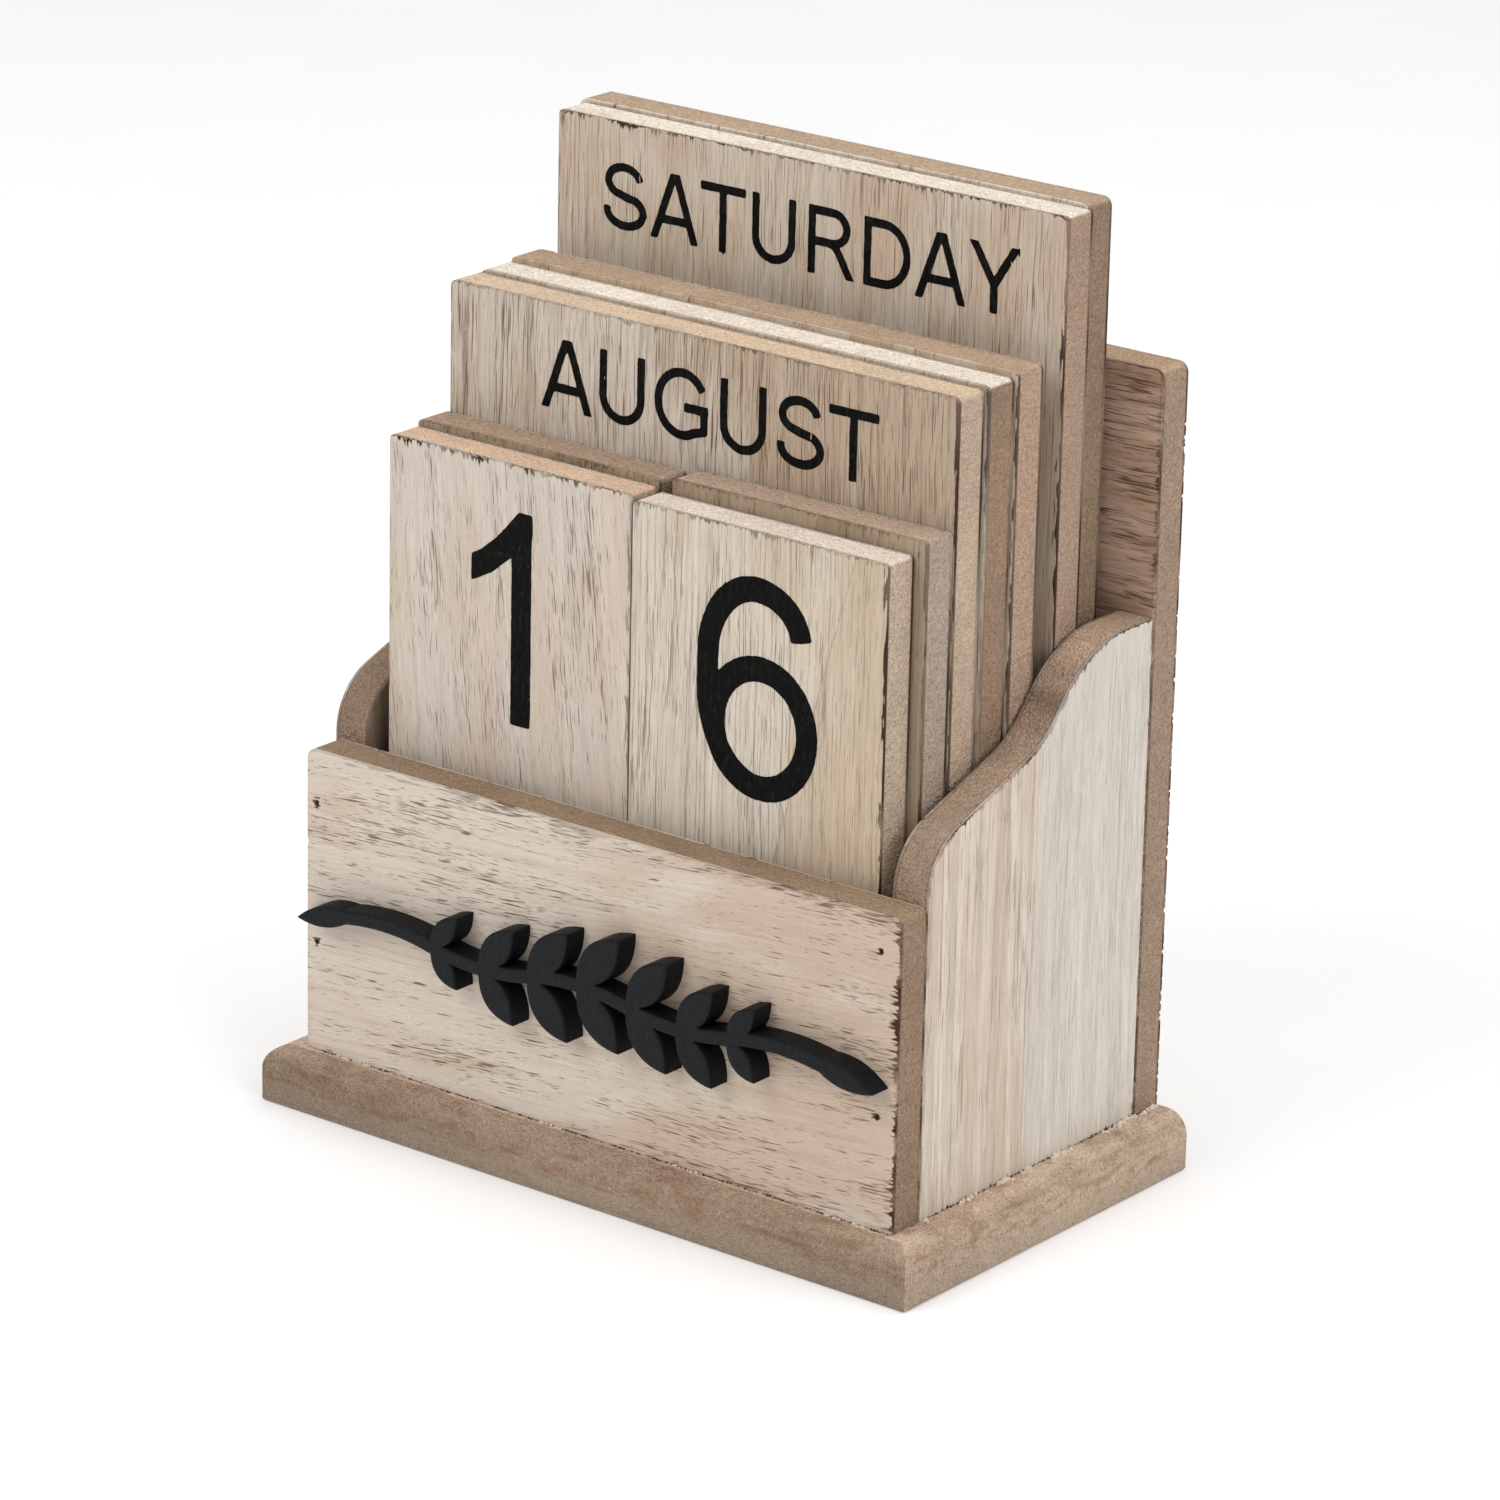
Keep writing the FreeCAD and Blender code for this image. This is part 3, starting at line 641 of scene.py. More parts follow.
def shell(points: np.ndarray, faces: list, numbers: dict[str, np.ndarray] | None = None) -> Mesh:
    """Make a closed mesh from places in millimetres, its faces turned outwards.

    Args:
        points: Places, one row each.
        faces: Corner indices of each face.
        numbers: Values for each point, by attribute name.

    Returns:
        The mesh, in metres.
    """
    mesh = bpy.data.meshes.new("shell")
    mesh.from_pydata((np.asarray(points) * MM).tolist(), [], faces)
    for key, values in (numbers or {}).items():
        give(mesh, key, values)
    build = bmesh.new()
    build.from_mesh(mesh)
    bmesh.ops.recalc_face_normals(build, faces=build.faces)
    build.to_mesh(mesh)
    build.free()
    mesh.shade_smooth()
    mesh.set_sharp_from_angle(angle=math.radians(SHARP_ANGLE))
    return mesh


def join_meshes(name: str, meshes: list[Mesh]) -> Mesh:
    """Put several meshes into one.

    Args:
        name: The new mesh's name.
        meshes: What goes into it.

    Returns:
        The new mesh.
    """
    build = bmesh.new()
    for mesh in meshes:
        build.from_mesh(mesh)
    joined = bpy.data.meshes.new(name)
    build.to_mesh(joined)
    build.free()
    return joined


def give(mesh: Mesh, key: str, values: Iterable[float], domain: str = "POINT") -> None:
    """Let the points, or the faces, of a mesh carry a number for its material."""
    mesh.attributes.new(key, "FLOAT", domain).data.foreach_set("value", np.asarray(values, np.float32))


def applied(name: str, mesh: Mesh, dress: Callable[[Object], None]) -> Mesh:
    """Run modifiers on a mesh and return the plain result.

    Args:
        name: The passing object's name.
        mesh: What the modifiers start from.
        dress: Adds the modifiers to the object.

    Returns:
        A new mesh with the modifiers applied.
    """
    holder = added(name, mesh)
    dress(holder)
    graph = bpy.context.evaluated_depsgraph_get()
    result = bpy.data.meshes.new_from_object(holder.evaluated_get(graph))
    holder.modifiers.clear()
    bpy.data.objects.remove(holder)
    return result


def outline_of(node: str, face: Face) -> np.ndarray:
    """The outline of a frame node's flat face."""
    return face_loops(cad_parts[node].data, face)[0]


def face_loops(mesh: Mesh, face: Face) -> list[np.ndarray]:
    """Trace the flat outer face of a solid.

    Args:
        mesh: The solid, in metres.
        face: Which of its faces.

    Returns:
        Its loops in the face's plane, the outline first and anticlockwise, then any holes.
    """
    places = np.array([tuple(vertex.co) for vertex in mesh.vertices]) / MM
    heights = face.sense * places[:, face.axis]
    on_face = heights > heights.max() - ON_FACE
    keys = [tuple(pair) for pair in np.round(places[:, face.plane], 3).tolist()]
    edges = set()
    for polygon in mesh.polygons:
        corners = list(polygon.vertices)
        if all(on_face[corner] for corner in corners):
            edges |= {(keys[a], keys[b]) for a, b in zip(corners, corners[1:] + corners[:1])}
    loops = [np.array(loop) for loop in chain({a: b for a, b in edges if (b, a) not in edges})]
    loops.sort(key=lambda loop: -abs(area(loop)))
    return [loop if area(loop) > 0 else loop[::-1] for loop in loops]


def chain(follow: dict, first: Callable[[dict], object] = min) -> list[list]:
    """Join steps from point to point into closed loops.

    Args:
        follow: The next point after each one; it ends up empty.
        first: Chooses where a loop starts.

    Returns:
        The points of each loop.
    """
    loops = []
    while follow:
        loop = [first(follow)]
        while loop[-1] in follow:
            loop.append(follow.pop(loop[-1]))
        loops.append(loop[:-1])
    return loops


def area(loop: np.ndarray) -> float:
    """Signed area inside a loop, above zero when it runs anticlockwise."""
    x, y = loop.T
    return 0.5 * float(np.sum(x * np.roll(y, -1) - np.roll(x, -1) * y))


def normals(loop: np.ndarray) -> np.ndarray:
    """Find which way is out all round a loop.

    Args:
        loop: Its points, anticlockwise.

    Returns:
        The unit normal at each point.
    """
    steps = np.roll(loop, -1, axis=0) - loop
    steps = steps / np.linalg.norm(steps, axis=1, keepdims=True)
    mean = steps + np.roll(steps, 1, axis=0)
    mean = mean / np.linalg.norm(mean, axis=1, keepdims=True)
    return np.stack([mean[:, 1], -mean[:, 0]], axis=1)


def refine(loop: np.ndarray, pitch: Callable[[np.ndarray], float]) -> np.ndarray:
    """Divide the runs of a loop evenly.

    Args:
        loop: Its corners.
        pitch: Gives the longest step for a run's unit direction.

    Returns:
        The denser loop.
    """
    points = []
    for start, end in zip(loop, np.roll(loop, -1, axis=0)):
        length = float(np.linalg.norm(end - start))
        count = max(1, math.ceil(length / pitch((end - start) / length)))
        points += [start + (end - start) * step / count for step in range(count)]
    return np.array(points)


def nearest(points: np.ndarray, loop: np.ndarray) -> np.ndarray:
    """Measure how far points lie from a loop.

    Args:
        points: The points.
        loop: The loop's corners.

    Returns:
        The distance of each point from the nearest run.
    """
    run = np.roll(loop, -1, axis=0) - loop
    squared = np.maximum((run ** 2).sum(axis=1), 1e-12)
    batch = 256                   # keeps the tables of distances small
    best = np.full(len(points), np.inf)
    for first in range(0, len(points), batch):
        offset = points[first:first + batch, None] - loop[None]
        share = np.clip((offset * run).sum(axis=2) / squared, 0, 1)
        gap = np.linalg.norm(offset - share[..., None] * run, axis=2)
        best[first:first + batch] = gap.min(axis=1)
    return best


def fill(loops: list[np.ndarray], inner: np.ndarray) -> tuple[np.ndarray, list]:
    """Fill an outline with triangles, leaving its holes open.

    Args:
        loops: The outline, then its holes.
        inner: More points to use inside.

    Returns:
        The points and the corner indices of each triangle.
    """
    points = np.concatenate([*loops, inner]) if len(inner) else np.concatenate(loops)
    rings, first = [], 0
    for loop in loops:
        rings.append(list(range(first, first + len(loop))))
        first += len(loop)
    found = delaunay_2d_cdt([Vector(p) for p in points.tolist()], [], rings, 1, 1e-5)
    places = np.array([tuple(v) for v in found[0]])
    triangles = np.array([list(f) for f in found[2]])
    middles = places[triangles].mean(axis=1)
    keep = np.ones(len(triangles), bool)
    for hole in loops[1:]:
        keep &= ~encloses(hole, middles)
    return places, triangles[keep].tolist()


def encloses(loop: np.ndarray, points: np.ndarray) -> np.ndarray:
    """Tell which points lie inside a loop.

    Args:
        loop: The loop's corners.
        points: The points.

    Returns:
        True for each point inside.
    """
    x, y = points[:, 0, None], points[:, 1, None]
    (ax, ay), (bx, by) = loop.T, np.roll(loop, -1, axis=0).T
    spans = (ay > y) != (by > y)
    cuts = ax + (y - ay) * (bx - ax) / np.where(by == ay, 1e-9, by - ay)
    return ((spans & (x < cuts)).sum(axis=1) % 2) == 1


def plate(places: np.ndarray, triangles: list, face: Face, front: np.ndarray | float, back: float,
          numbers: dict[str, np.ndarray], rear_numbers: dict[str, np.ndarray]) -> Mesh:
    """Close a filled outline into a plate with a front, a back and edges.

    Args:
        places: Points of the plane.
        triangles: The filled face.
        face: The side that the front looks to.
        front: Coordinates of the front along the normal.
        back: Coordinate of the back along the normal.
        numbers: Values for each front point, by attribute name.
        rear_numbers: Values behind each front point, by attribute name.

    Returns:
        The closed mesh.
    """
    edges = {(a, b) for tri in triangles for a, b in zip(tri, tri[1:] + tri[:1])}
    rim = [(a, b) for a, b in edges if (b, a) not in edges]
    order = sorted({a for a, _ in rim})
    feet = {corner: len(places) + index for index, corner in enumerate(order)}
    loops = sorted(chain(dict(rim)), key=lambda loop: -abs(area(places[loop])))
    _, rear_faces = fill([places[loop] for loop in loops], np.empty((0, 2)))
    ring = [corner for loop in loops for corner in loop]
    rear_faces = [[feet[ring[i]] for i in tri][::-1] for tri in rear_faces]
    walls = [[b, a, feet[a], feet[b]] for a, b in rim]
    points = np.concatenate([face.lift(places, front), face.lift(places[order], back)])
    values = {key: np.concatenate([value, rear_numbers[key][order]]) for key, value in numbers.items()}
    return shell(points, triangles + walls + rear_faces, values)


# ---- veneer sheets

@dataclass(frozen=True)
class Wear:
    """How saw and sandpaper left the edges of a sheet."""

    teeth: float = 0.25           # notches for each millimetre of edge across the grain
    splits: float = 0.0           # the same along the grain
    depth: float = 0.42           # deepest notch
    ease: float = 0.1             # rounding of the arris
    burn: tuple[float, float, float, float] = (0.55, 0.95, 0.7, 0.2)   # up, right, left, down
    fuzz: float = 0.008           # unevenness between the notches
    half_width: tuple[float, float] = (0.16, 0.42)
    shallowest: float = 0.06
    whole_foot: float = 1.0       # height above the foot that stays whole
    wave: int = 12                # points of the outline between one darkness and the next

    def notches(self, loop: np.ndarray, out: np.ndarray, grain_upright: bool,
                rng: Random) -> np.ndarray:
        """How far each point of the outline is worn away.

        Args:
            loop: The outline.
            out: Its outward normals.
            grain_upright: True if the wood runs up the sheet.
            rng: Random numbers.

        Returns:
            The depth at each point.
        """
        steps = np.linalg.norm(np.roll(loop, -1, axis=0) - loop, axis=1)
        run = np.concatenate([[0], np.cumsum(steps)[:-1]])
        length = float(steps.sum())
        cut = np.abs(out[:, 1 if grain_upright else 0])
        rate = (self.splits + (self.teeth - self.splits) * cut ** 4) * self._level(out)
        worn = self.fuzz * rng.random(len(loop))
        for _ in range(int(length * self.teeth)):
            middle, half = rng.random() * length, rng.uniform(*self.half_width)
            deep = self.depth * rng.random() ** 1.6 + self.shallowest
            spot = int(np.searchsorted(run, middle)) % len(loop)
            if rng.random() * self.teeth > rate[spot]:
                continue
            if cut[spot] < 0.5:   # a split along the grain is long and shallow
                half *= 3.0
                deep *= 0.5
            away = np.abs(run - middle) / half
            worn = np.maximum(worn, deep * np.clip(1 - away, 0, 1) ** 0.6)
        foot = loop[:, 1] < loop[:, 1].min() + self.whole_foot
        return np.where(foot, 0.0, worn)

    def _level(self, out: np.ndarray) -> np.ndarray:
        """Tell how roughly the saw met each point of the outline.

        Args:
            out: The outline's outward normals.

        Returns:
            The level at each point.
        """
        up, right, left, down = self.burn
        level = np.where(out[:, 0] > 0, right, left) * out[:, 0] ** 2
        return level + np.where(out[:, 1] > 0, up, down) * out[:, 1] ** 2

    def scorch(self, out: np.ndarray, rng: Random) -> np.ndarray:
        """Tell how dark the saw left each point of the outline.

        Args:
            out: The outline's outward normals.
            rng: Random numbers.

        Returns:
            The darkness at each point, from 0 to 1.
        """
        knots = np.arange(0, len(out) + 2 * self.wave, self.wave)
        waves = np.interp(np.arange(len(out)), knots, rng.uniform(0.35, 1.25, len(knots)))
        return np.clip(self._level(out) * waves, 0, 1)


@dataclass
class Sheet:
    """One sheet of veneer: it takes its outline from the frame and has worn, toothed edges."""

    node: str
    face: Face
    finish: Veneer
    body: str
    slot: Slot
    seed: int
    wear: Wear = Wear()
    pits: list[tuple[float, float]] = field(default_factory=list)
    fine: float = 0.24            # step along an edge that cuts the grain
    coarse: float = 0.9           # the same along the grain
    pit_size: tuple[float, float] = (0.32, 0.46)   # half its width and height
    pit_darkness: float = 0.9

    def build(self) -> None:
        """Make the sheet and put it in the frame node's place."""
        rng = np.random.default_rng(self.seed)
        upright = self.finish.grain is not Grain.LEVEL
        outline = outline_of(self.node, self.face)
        across = 0 if upright else 1
        outline = refine(outline, lambda way: self.fine if abs(way[across]) > 0.25 else self.coarse)
        out = normals(outline)
        worn = self.wear.notches(outline, out, upright, rng)
        edge = outline - out * worn[:, None]
        burn = self.wear.scorch(out, rng)
        holes = [self._pit(x, z, rng) for x, z in self.pits]
        inner, depths = self._rings(edge, out, outline, holes)
        places, triangles = fill([edge, *holes], inner)
        source = np.concatenate([edge, *holes])
        rims = np.concatenate([np.zeros(len(source)), depths])
        low, high = box_of(self.node)
        outer, rear = (high, low) if self.face.sense > 0 else (low, high)
        settle = np.where(rims < self.wear.ease * 0.5, self.wear.ease, 0.0)
        front = outer[self.face.axis] - self.face.sense * settle
        darkness = np.concatenate([burn, *[np.full(len(hole), self.pit_darkness) for hole in holes]])
        near = np.array([int(np.argmin(((source - p) ** 2).sum(axis=1))) for p in places])
        # behind, only the upright edges are burnt
        behind = darkness * np.concatenate([out[:, 0] ** 2, np.ones(len(source) - len(edge))])
        mesh = plate(places, triangles, self.face, front, rear[self.face.axis],
                     {"rim": rims, "burn": darkness[near]},
                     {"rim": np.full(len(places), -0.5), "burn": behind[near]})
        material = self.finish.material(f"{self.node}_wood", self.seed)
        publish(f"{self.node}_sheet", mesh, material, self.body, [self.node])

    def _rings(self, edge: np.ndarray, out: np.ndarray, outline: np.ndarray,
               holes: list[np.ndarray]) -> tuple[np.ndarray, np.ndarray]:
        """Lay points inside the edge and round the pits, to carry the wear's fading.

        Args:
            edge: The worn edge.
            out: Its outward normals.
            outline: The edge before it was worn.
            holes: The pits.

        Returns:
            The points, and how far each lies from the edge.
        """
        rings, depths = [], []
        for depth, skip in ((self.wear.ease, 1), (0.4, 2), (1.1, 4), (3.0, 8)):
            ring = (edge - out * depth)[::skip]
            ring = ring[nearest(ring, outline) > depth * 0.97]
            rings.append(ring)
            depths.append(np.full(len(ring), depth))
        for hole in holes:
            middle = hole.mean(axis=0)
            for reach, depth in ((1.9, 0.3), (4.0, 1.1)):
                rings.append(middle + (hole - middle) * reach)
                depths.append(np.full(len(hole), depth))
        return np.concatenate(rings), np.concatenate(depths)

    def _pit(self, x: float, z: float, rng: Random) -> np.ndarray:
        """Tear a slit over a sunk brad.

        Args:
            x: The brad's place along the sheet.
            z: Its height.
            rng: Random numbers.

        Returns:
            The slit's outline.
        """
        corners = 14
        turns = np.linspace(0, 2 * math.pi, corners, endpoint=False)
        wide, tall = self.pit_size
        width = wide * (1 + 0.3 * np.sin(turns)) * rng.uniform(0.8, 1.15, corners)
        height = tall * rng.uniform(0.8, 1.15, corners)
        return np.stack([x + width * np.cos(turns), z + height * np.sin(turns)], axis=1)


@dataclass
class Board:
    """The fibreboard between two sheets; its edges show."""

    node: str
    face: Face
    finish: Fibreboard
    body: str
    slot: Slot
    seed: int
    sanding_and_light: tuple[tuple[float, float], ...] = ()   # height and paleness of each band along the edge: partly sanding, partly painted light and shade
    seam_and_shade: float = 0.35            # depth that is darkened at both sheets: partly glue, partly painted shade of the gaps between the layers and the tiles
    step: float = 0.6             # longest step along the edge

    def build(self) -> None:
        """Make the board and put it in the frame node's place."""
        outline = outline_of(self.node, self.face)
        outline = refine(outline, lambda way: self.step)
        out = normals(outline)
        low, high = box_of(self.node)
        first, last = low[self.face.axis], high[self.face.axis]
        levels = [first, first + self.seam_and_shade, last - self.seam_and_shade, last]
        count = len(outline)
        points = np.concatenate([self.face.lift(outline, level) for level in levels])
        faces = []
        for level in range(len(levels) - 1):
            foot, top = level * count, (level + 1) * count
            for a in range(count):
                b = (a + 1) % count
                faces.append([foot + a, foot + b, top + b, top + a])
        _, triangles = fill([outline], np.empty((0, 2)))
        faces += triangles
        faces += [[top + corner for corner in tri][::-1] for tri in triangles]
        # edges that face up take the top colour: partly painted light from above
        tone = np.clip((out[:, 1] - 0.5) * 4, 0, 1)
        if self.sanding_and_light:
            tone = np.interp(outline[:, 1], *zip(*self.sanding_and_light))
        numbers = {"tone": np.tile(tone, len(levels)),
                   "rim": np.repeat([0.0, self.seam_and_shade, self.seam_and_shade, 0.0], count)}
        mesh = shell(points, faces, numbers)
        material = self.finish.material(f"{self.node}_fibreboard", self.seed)
        publish(f"{self.node}_board", mesh, material, self.body, [self.node])


# ---- lettering

def stem(x: float) -> tuple:
    """An upright stroke over the full height."""
    return ((x, 0), (x, 1))


def bar(start: float, end: float, level: float) -> tuple:
    """A level stroke."""
    return ((start, level), (end, level))


# Each character: how far the next one starts, then its strokes as shares of the height. A stroke's
# entry is a point, or an arc: its middle, its half width and height, and its angles in degrees.
GLYPHS: dict[str, tuple[float, tuple]] = {
    "A": (0.93, (((0.065, -0.06), (0.47, 1.06)), ((0.865, -0.06), (0.46, 1.06)), bar(0.19, 0.74, 0.305))),
    "B": (0.93, (
        stem(0.1665),
        ((0.1665, 0.9365), (0.53, 0.9365), (0.53, 0.731, 0.235, 0.2055, 90, -90), (0.1665, 0.5255)),
        ((0.1665, 0.525), (0.53, 0.525), (0.53, 0.2945, 0.2795, 0.231, 90, -90), (0.1665, 0.0635)))),
    "C": (1.006, (((0.52, 0.5, 0.3955, 0.4365, 31, 337),),)),
    "D": (1.006, (
        stem(0.1765),
        ((0.1765, 0.9365), (0.47, 0.9365), (0.47, 0.5, 0.4055, 0.4365, 90, -90), (0.1765, 0.0635)))),
    "E": (0.93, (stem(0.1835), bar(0.1835, 0.837, 0.9365), bar(0.1835, 0.785, 0.525),
                 bar(0.1835, 0.858, 0.0635))),
    "F": (0.851, (stem(0.1835), bar(0.1835, 0.812, 0.9365), bar(0.1835, 0.72, 0.515))),
    "G": (1.084, (((0.54, 0.5, 0.4095, 0.4365, 32, 302), (0.9235, 0.17), (0.9235, 0.42)),
                  bar(0.585, 0.987, 0.462))),
    "I": (0.387, (stem(0.1945),)),
    "J": (0.696, (((0.5325, 1), (0.31, 0.28, 0.2225, 0.2165, 0, -180), (0.0875, 0.31)),)),
    "L": (0.774, (stem(0.1695), bar(0.1695, 0.748, 0.0635))),
    "M": (1.16, (stem(0.1655), ((0.185, 1.06), (0.565, -0.06)), ((0.977, 1.06), (0.597, -0.06)),
                 stem(0.9965))),
    "N": (1.006, (stem(0.1695), ((0.164, 1.06), (0.842, -0.06)), stem(0.8365))),
    "O": (1.084, (((0.5415, 0.5, 0.424, 0.4365, 0, 360),),)),
    "P": (0.93, (
        stem(0.1835),
        ((0.1835, 0.9365), (0.55, 0.9365), (0.55, 0.6958, 0.2525, 0.2407, 90, -90), (0.1835, 0.455)))),
    "R": (1.006, (
        stem(0.1865),
        ((0.1865, 0.9365), (0.56, 0.9365), (0.56, 0.7108, 0.2465, 0.2257, 90, -90), (0.1865, 0.485)),
        ((0.45, 0.485), (0.55, 0.475), (0.62, 0.43), (0.68, 0.345), (0.92, -0.06)))),
    "S": (0.93, (((0.455, 0.725, 0.295, 0.2115, 10, 235), (0.47, 0.5),
                  (0.475, 0.285, 0.3335, 0.2215, 55, -188)),)),
    "T": (0.851, (bar(0.019, 0.831, 0.9365), ((0.425, 0), (0.425, 0.95)))),
    "U": (1.006, (((0.1735, 1), (0.5035, 0.38, 0.33, 0.3165, 180, 360), (0.8335, 1)),)),
    "V": (0.93, (((0.075, 1.06), (0.466, -0.06)), ((0.854, 1.06), (0.463, -0.06)))),
    "W": (1.315, (((0.074, 1.06), (0.334, -0.06)), ((0.641, 1.06), (0.344, -0.06)),
                  ((0.673, 1.06), (0.97, -0.06)), ((1.24, 1.06), (0.98, -0.06)))),
    "Y": (0.93, (((0.0586, 1.06), (0.4645, 0.41)), ((0.8704, 1.06), (0.4645, 0.41)),
                 ((0.4645, 0.43), (0.4645, 0)))),
    "0": (0.647, (((0.3235, 0.5, 0.27, 0.446, 0, 360),),)),
    "1": (0.347, (
        ((0.2905, 0), (0.2905, 0.95)), bar(0.272, 0.3475, 0.943),
        ((-0.08, 0.655), (0, 0.693), (0.085, 0.737), (0.18, 0.814), (0.255, 0.893), (0.307, 0.955)))),
    "2": (0.647, (((0.325, 0.69, 0.245, 0.256, 172, -35), (0.3, 0.32), (0.13, 0.17), (0.075, 0.06)),
                  bar(0.04, 0.647, 0.054))),
    "3": (0.647, (((0.31, 0.738, 0.225, 0.208, 165, -90), (0.25, 0.53)),
                  ((0.25, 0.53), (0.31, 0.292, 0.27, 0.238, 90, -170)))),
    "4": (0.647, (stem(0.49), ((0.5, 1.02), (0.049, 0.278)), bar(0, 0.647, 0.25))),
    "5": (0.647, (((0.59, 0.946), (0.165, 0.946), (0.115, 0.492), (0.325, 0.325, 0.265, 0.271, 142, -165)),)),
    "6": (0.647, (((0.346, 0.3235, 0.252, 0.2685, 0, 360),),
                  ((0.315, 0.73, 0.243, 0.2135, 8, 90), (0.315, 0.61, 0.262, 0.3335, 90, 180),
                   (0.35, 0.46, 0.297, 0.4045, 180, 270)))),
    "7": (0.647, (bar(0.03, 0.637, 0.946), ((1.235, 0, 1, 1.205, 130.2, 180),))),
    "8": (0.647, (((0.3235, 0.735, 0.225, 0.211, 0, 360),), ((0.3235, 0.29, 0.268, 0.236, 0, 360),))),
}
DIGIT_WIDTH, SIX = GLYPHS["6"]
GLYPHS["9"] = (DIGIT_WIDTH, tuple(
    tuple((DIGIT_WIDTH - x, 1 - y, *size, start + 180, end + 180) for x, y, *size, start, end in path)
    for path in SIX))
ARC_STEP = 8                      # degrees between points of an arc
SMALLEST_BLOT = 0.02              # area of ink below which it is left out
# Where the outline of a cell is crossed, from one side to the next, for each set of inside corners.
# Sides: 0 low, 1 right, 2 high, 3 left. Corners: 1 low left, 2 low right, 4 high right, 8 high left.
CROSSINGS = {1: ((0, 3),), 2: ((1, 0),), 3: ((1, 3),), 4: ((2, 1),), 5: ((0, 3), (2, 1)), 6: ((2, 0),),
             7: ((2, 3),), 8: ((3, 2),), 9: ((0, 2),), 10: ((1, 0), (3, 2)), 11: ((1, 2),), 12: ((3, 1),),
             13: ((0, 1),), 14: ((3, 0),)}


def trace(path: Iterable[tuple]) -> np.ndarray:
    """Walk along a stroke.

    Args:
        path: Its points and arcs.

    Returns:
        Points along it, none of them twice in a row.
    """
    runs = []
    for entry in path:
        if len(entry) == 2:
            runs.append(np.array([entry], float))
        else:
            x, y, wide, tall, start, end = entry
            turns = np.radians(np.linspace(start, end, max(3, round(abs(end - start) / ARC_STEP) + 1)))
            runs.append(np.stack([x + wide * np.cos(turns), y + tall * np.sin(turns)], axis=1))
    points = np.concatenate(runs)
    fresh = np.linalg.norm(np.diff(points, axis=0), axis=1) > 1e-6
    return points[np.concatenate([[True], fresh])]


def cloud(shape: tuple[int, int], lump: int, rng: Random) -> np.ndarray:
    """Draw a smooth random field.

    Args:
        shape: How many samples it has each way.
        lump: How many of them its lumps are across.
        rng: Random numbers.

    Returns:
        Its samples, between -1 and 1.
    """
    coarse = rng.uniform(-1, 1, (shape[0] // lump + 2, shape[1] // lump + 2))
    rows, columns = (np.arange(count) / lump for count in shape)
    tall = np.stack([np.interp(rows, np.arange(len(column)), column) for column in coarse.T], axis=1)
    return np.stack([np.interp(columns, np.arange(len(row)), row) for row in tall])


def contours(depth: np.ndarray, corner: np.ndarray, cell: float) -> list[np.ndarray]:
    """Trace where a field of cells falls below zero.

    Args:
        depth: The field.
        corner: Place of its first sample.
        cell: Distance between samples.

    Returns:
        Closed loops with the low side on their left.
    """
    inside = depth < 0
    codes = inside[:-1, :-1] + 2 * inside[1:, :-1] + 4 * inside[1:, 1:] + 8 * inside[:-1, 1:]
    follow = {}
    for i, j in np.argwhere((codes > 0) & (codes < 15)).tolist():
        sides = ((0, i, j), (1, i + 1, j), (0, i, j + 1), (1, i, j))
        for start, end in CROSSINGS[int(codes[i, j])]:
            follow[sides[start]] = sides[end]

    def place(side: tuple[int, int, int]) -> np.ndarray:
        """Find where the outline crosses a side of a cell."""
        upright, i, j = side
        k, m = (i, j + 1) if upright else (i + 1, j)
        share = depth[i, j] / (depth[i, j] - depth[k, m])
        return corner + cell * np.array([i + (k - i) * share, j + (m - j) * share])

    loops = [np.array([place(side) for side in loop])
             for loop in chain(follow, lambda steps: next(iter(steps)))]
    return [loop for loop in map(thin_out, loops) if len(loop) > 3 and abs(area(loop)) > SMALLEST_BLOT]


def thin_out(loop: np.ndarray) -> np.ndarray:
    """Drop points that lie almost on their neighbours' line, or almost on a neighbour.

    Args:
        loop: The points.

    Returns:
        The points that shape it.
    """
    for _ in range(2):
        before, after = np.roll(loop, 1, axis=0), np.roll(loop, -1, axis=0)
        chord = after - before
        span = np.maximum(np.linalg.norm(chord, axis=1), 1e-9)
        step = loop - before
        offset = np.abs(chord[:, 0] * step[:, 1] - chord[:, 1] * step[:, 0]) / span
        close = np.linalg.norm(step, axis=1) < 0.02
        odd = np.arange(len(loop)) % 2 == 1
        loop = loop[~(odd & ((offset < 0.006) | close))]
    return loop


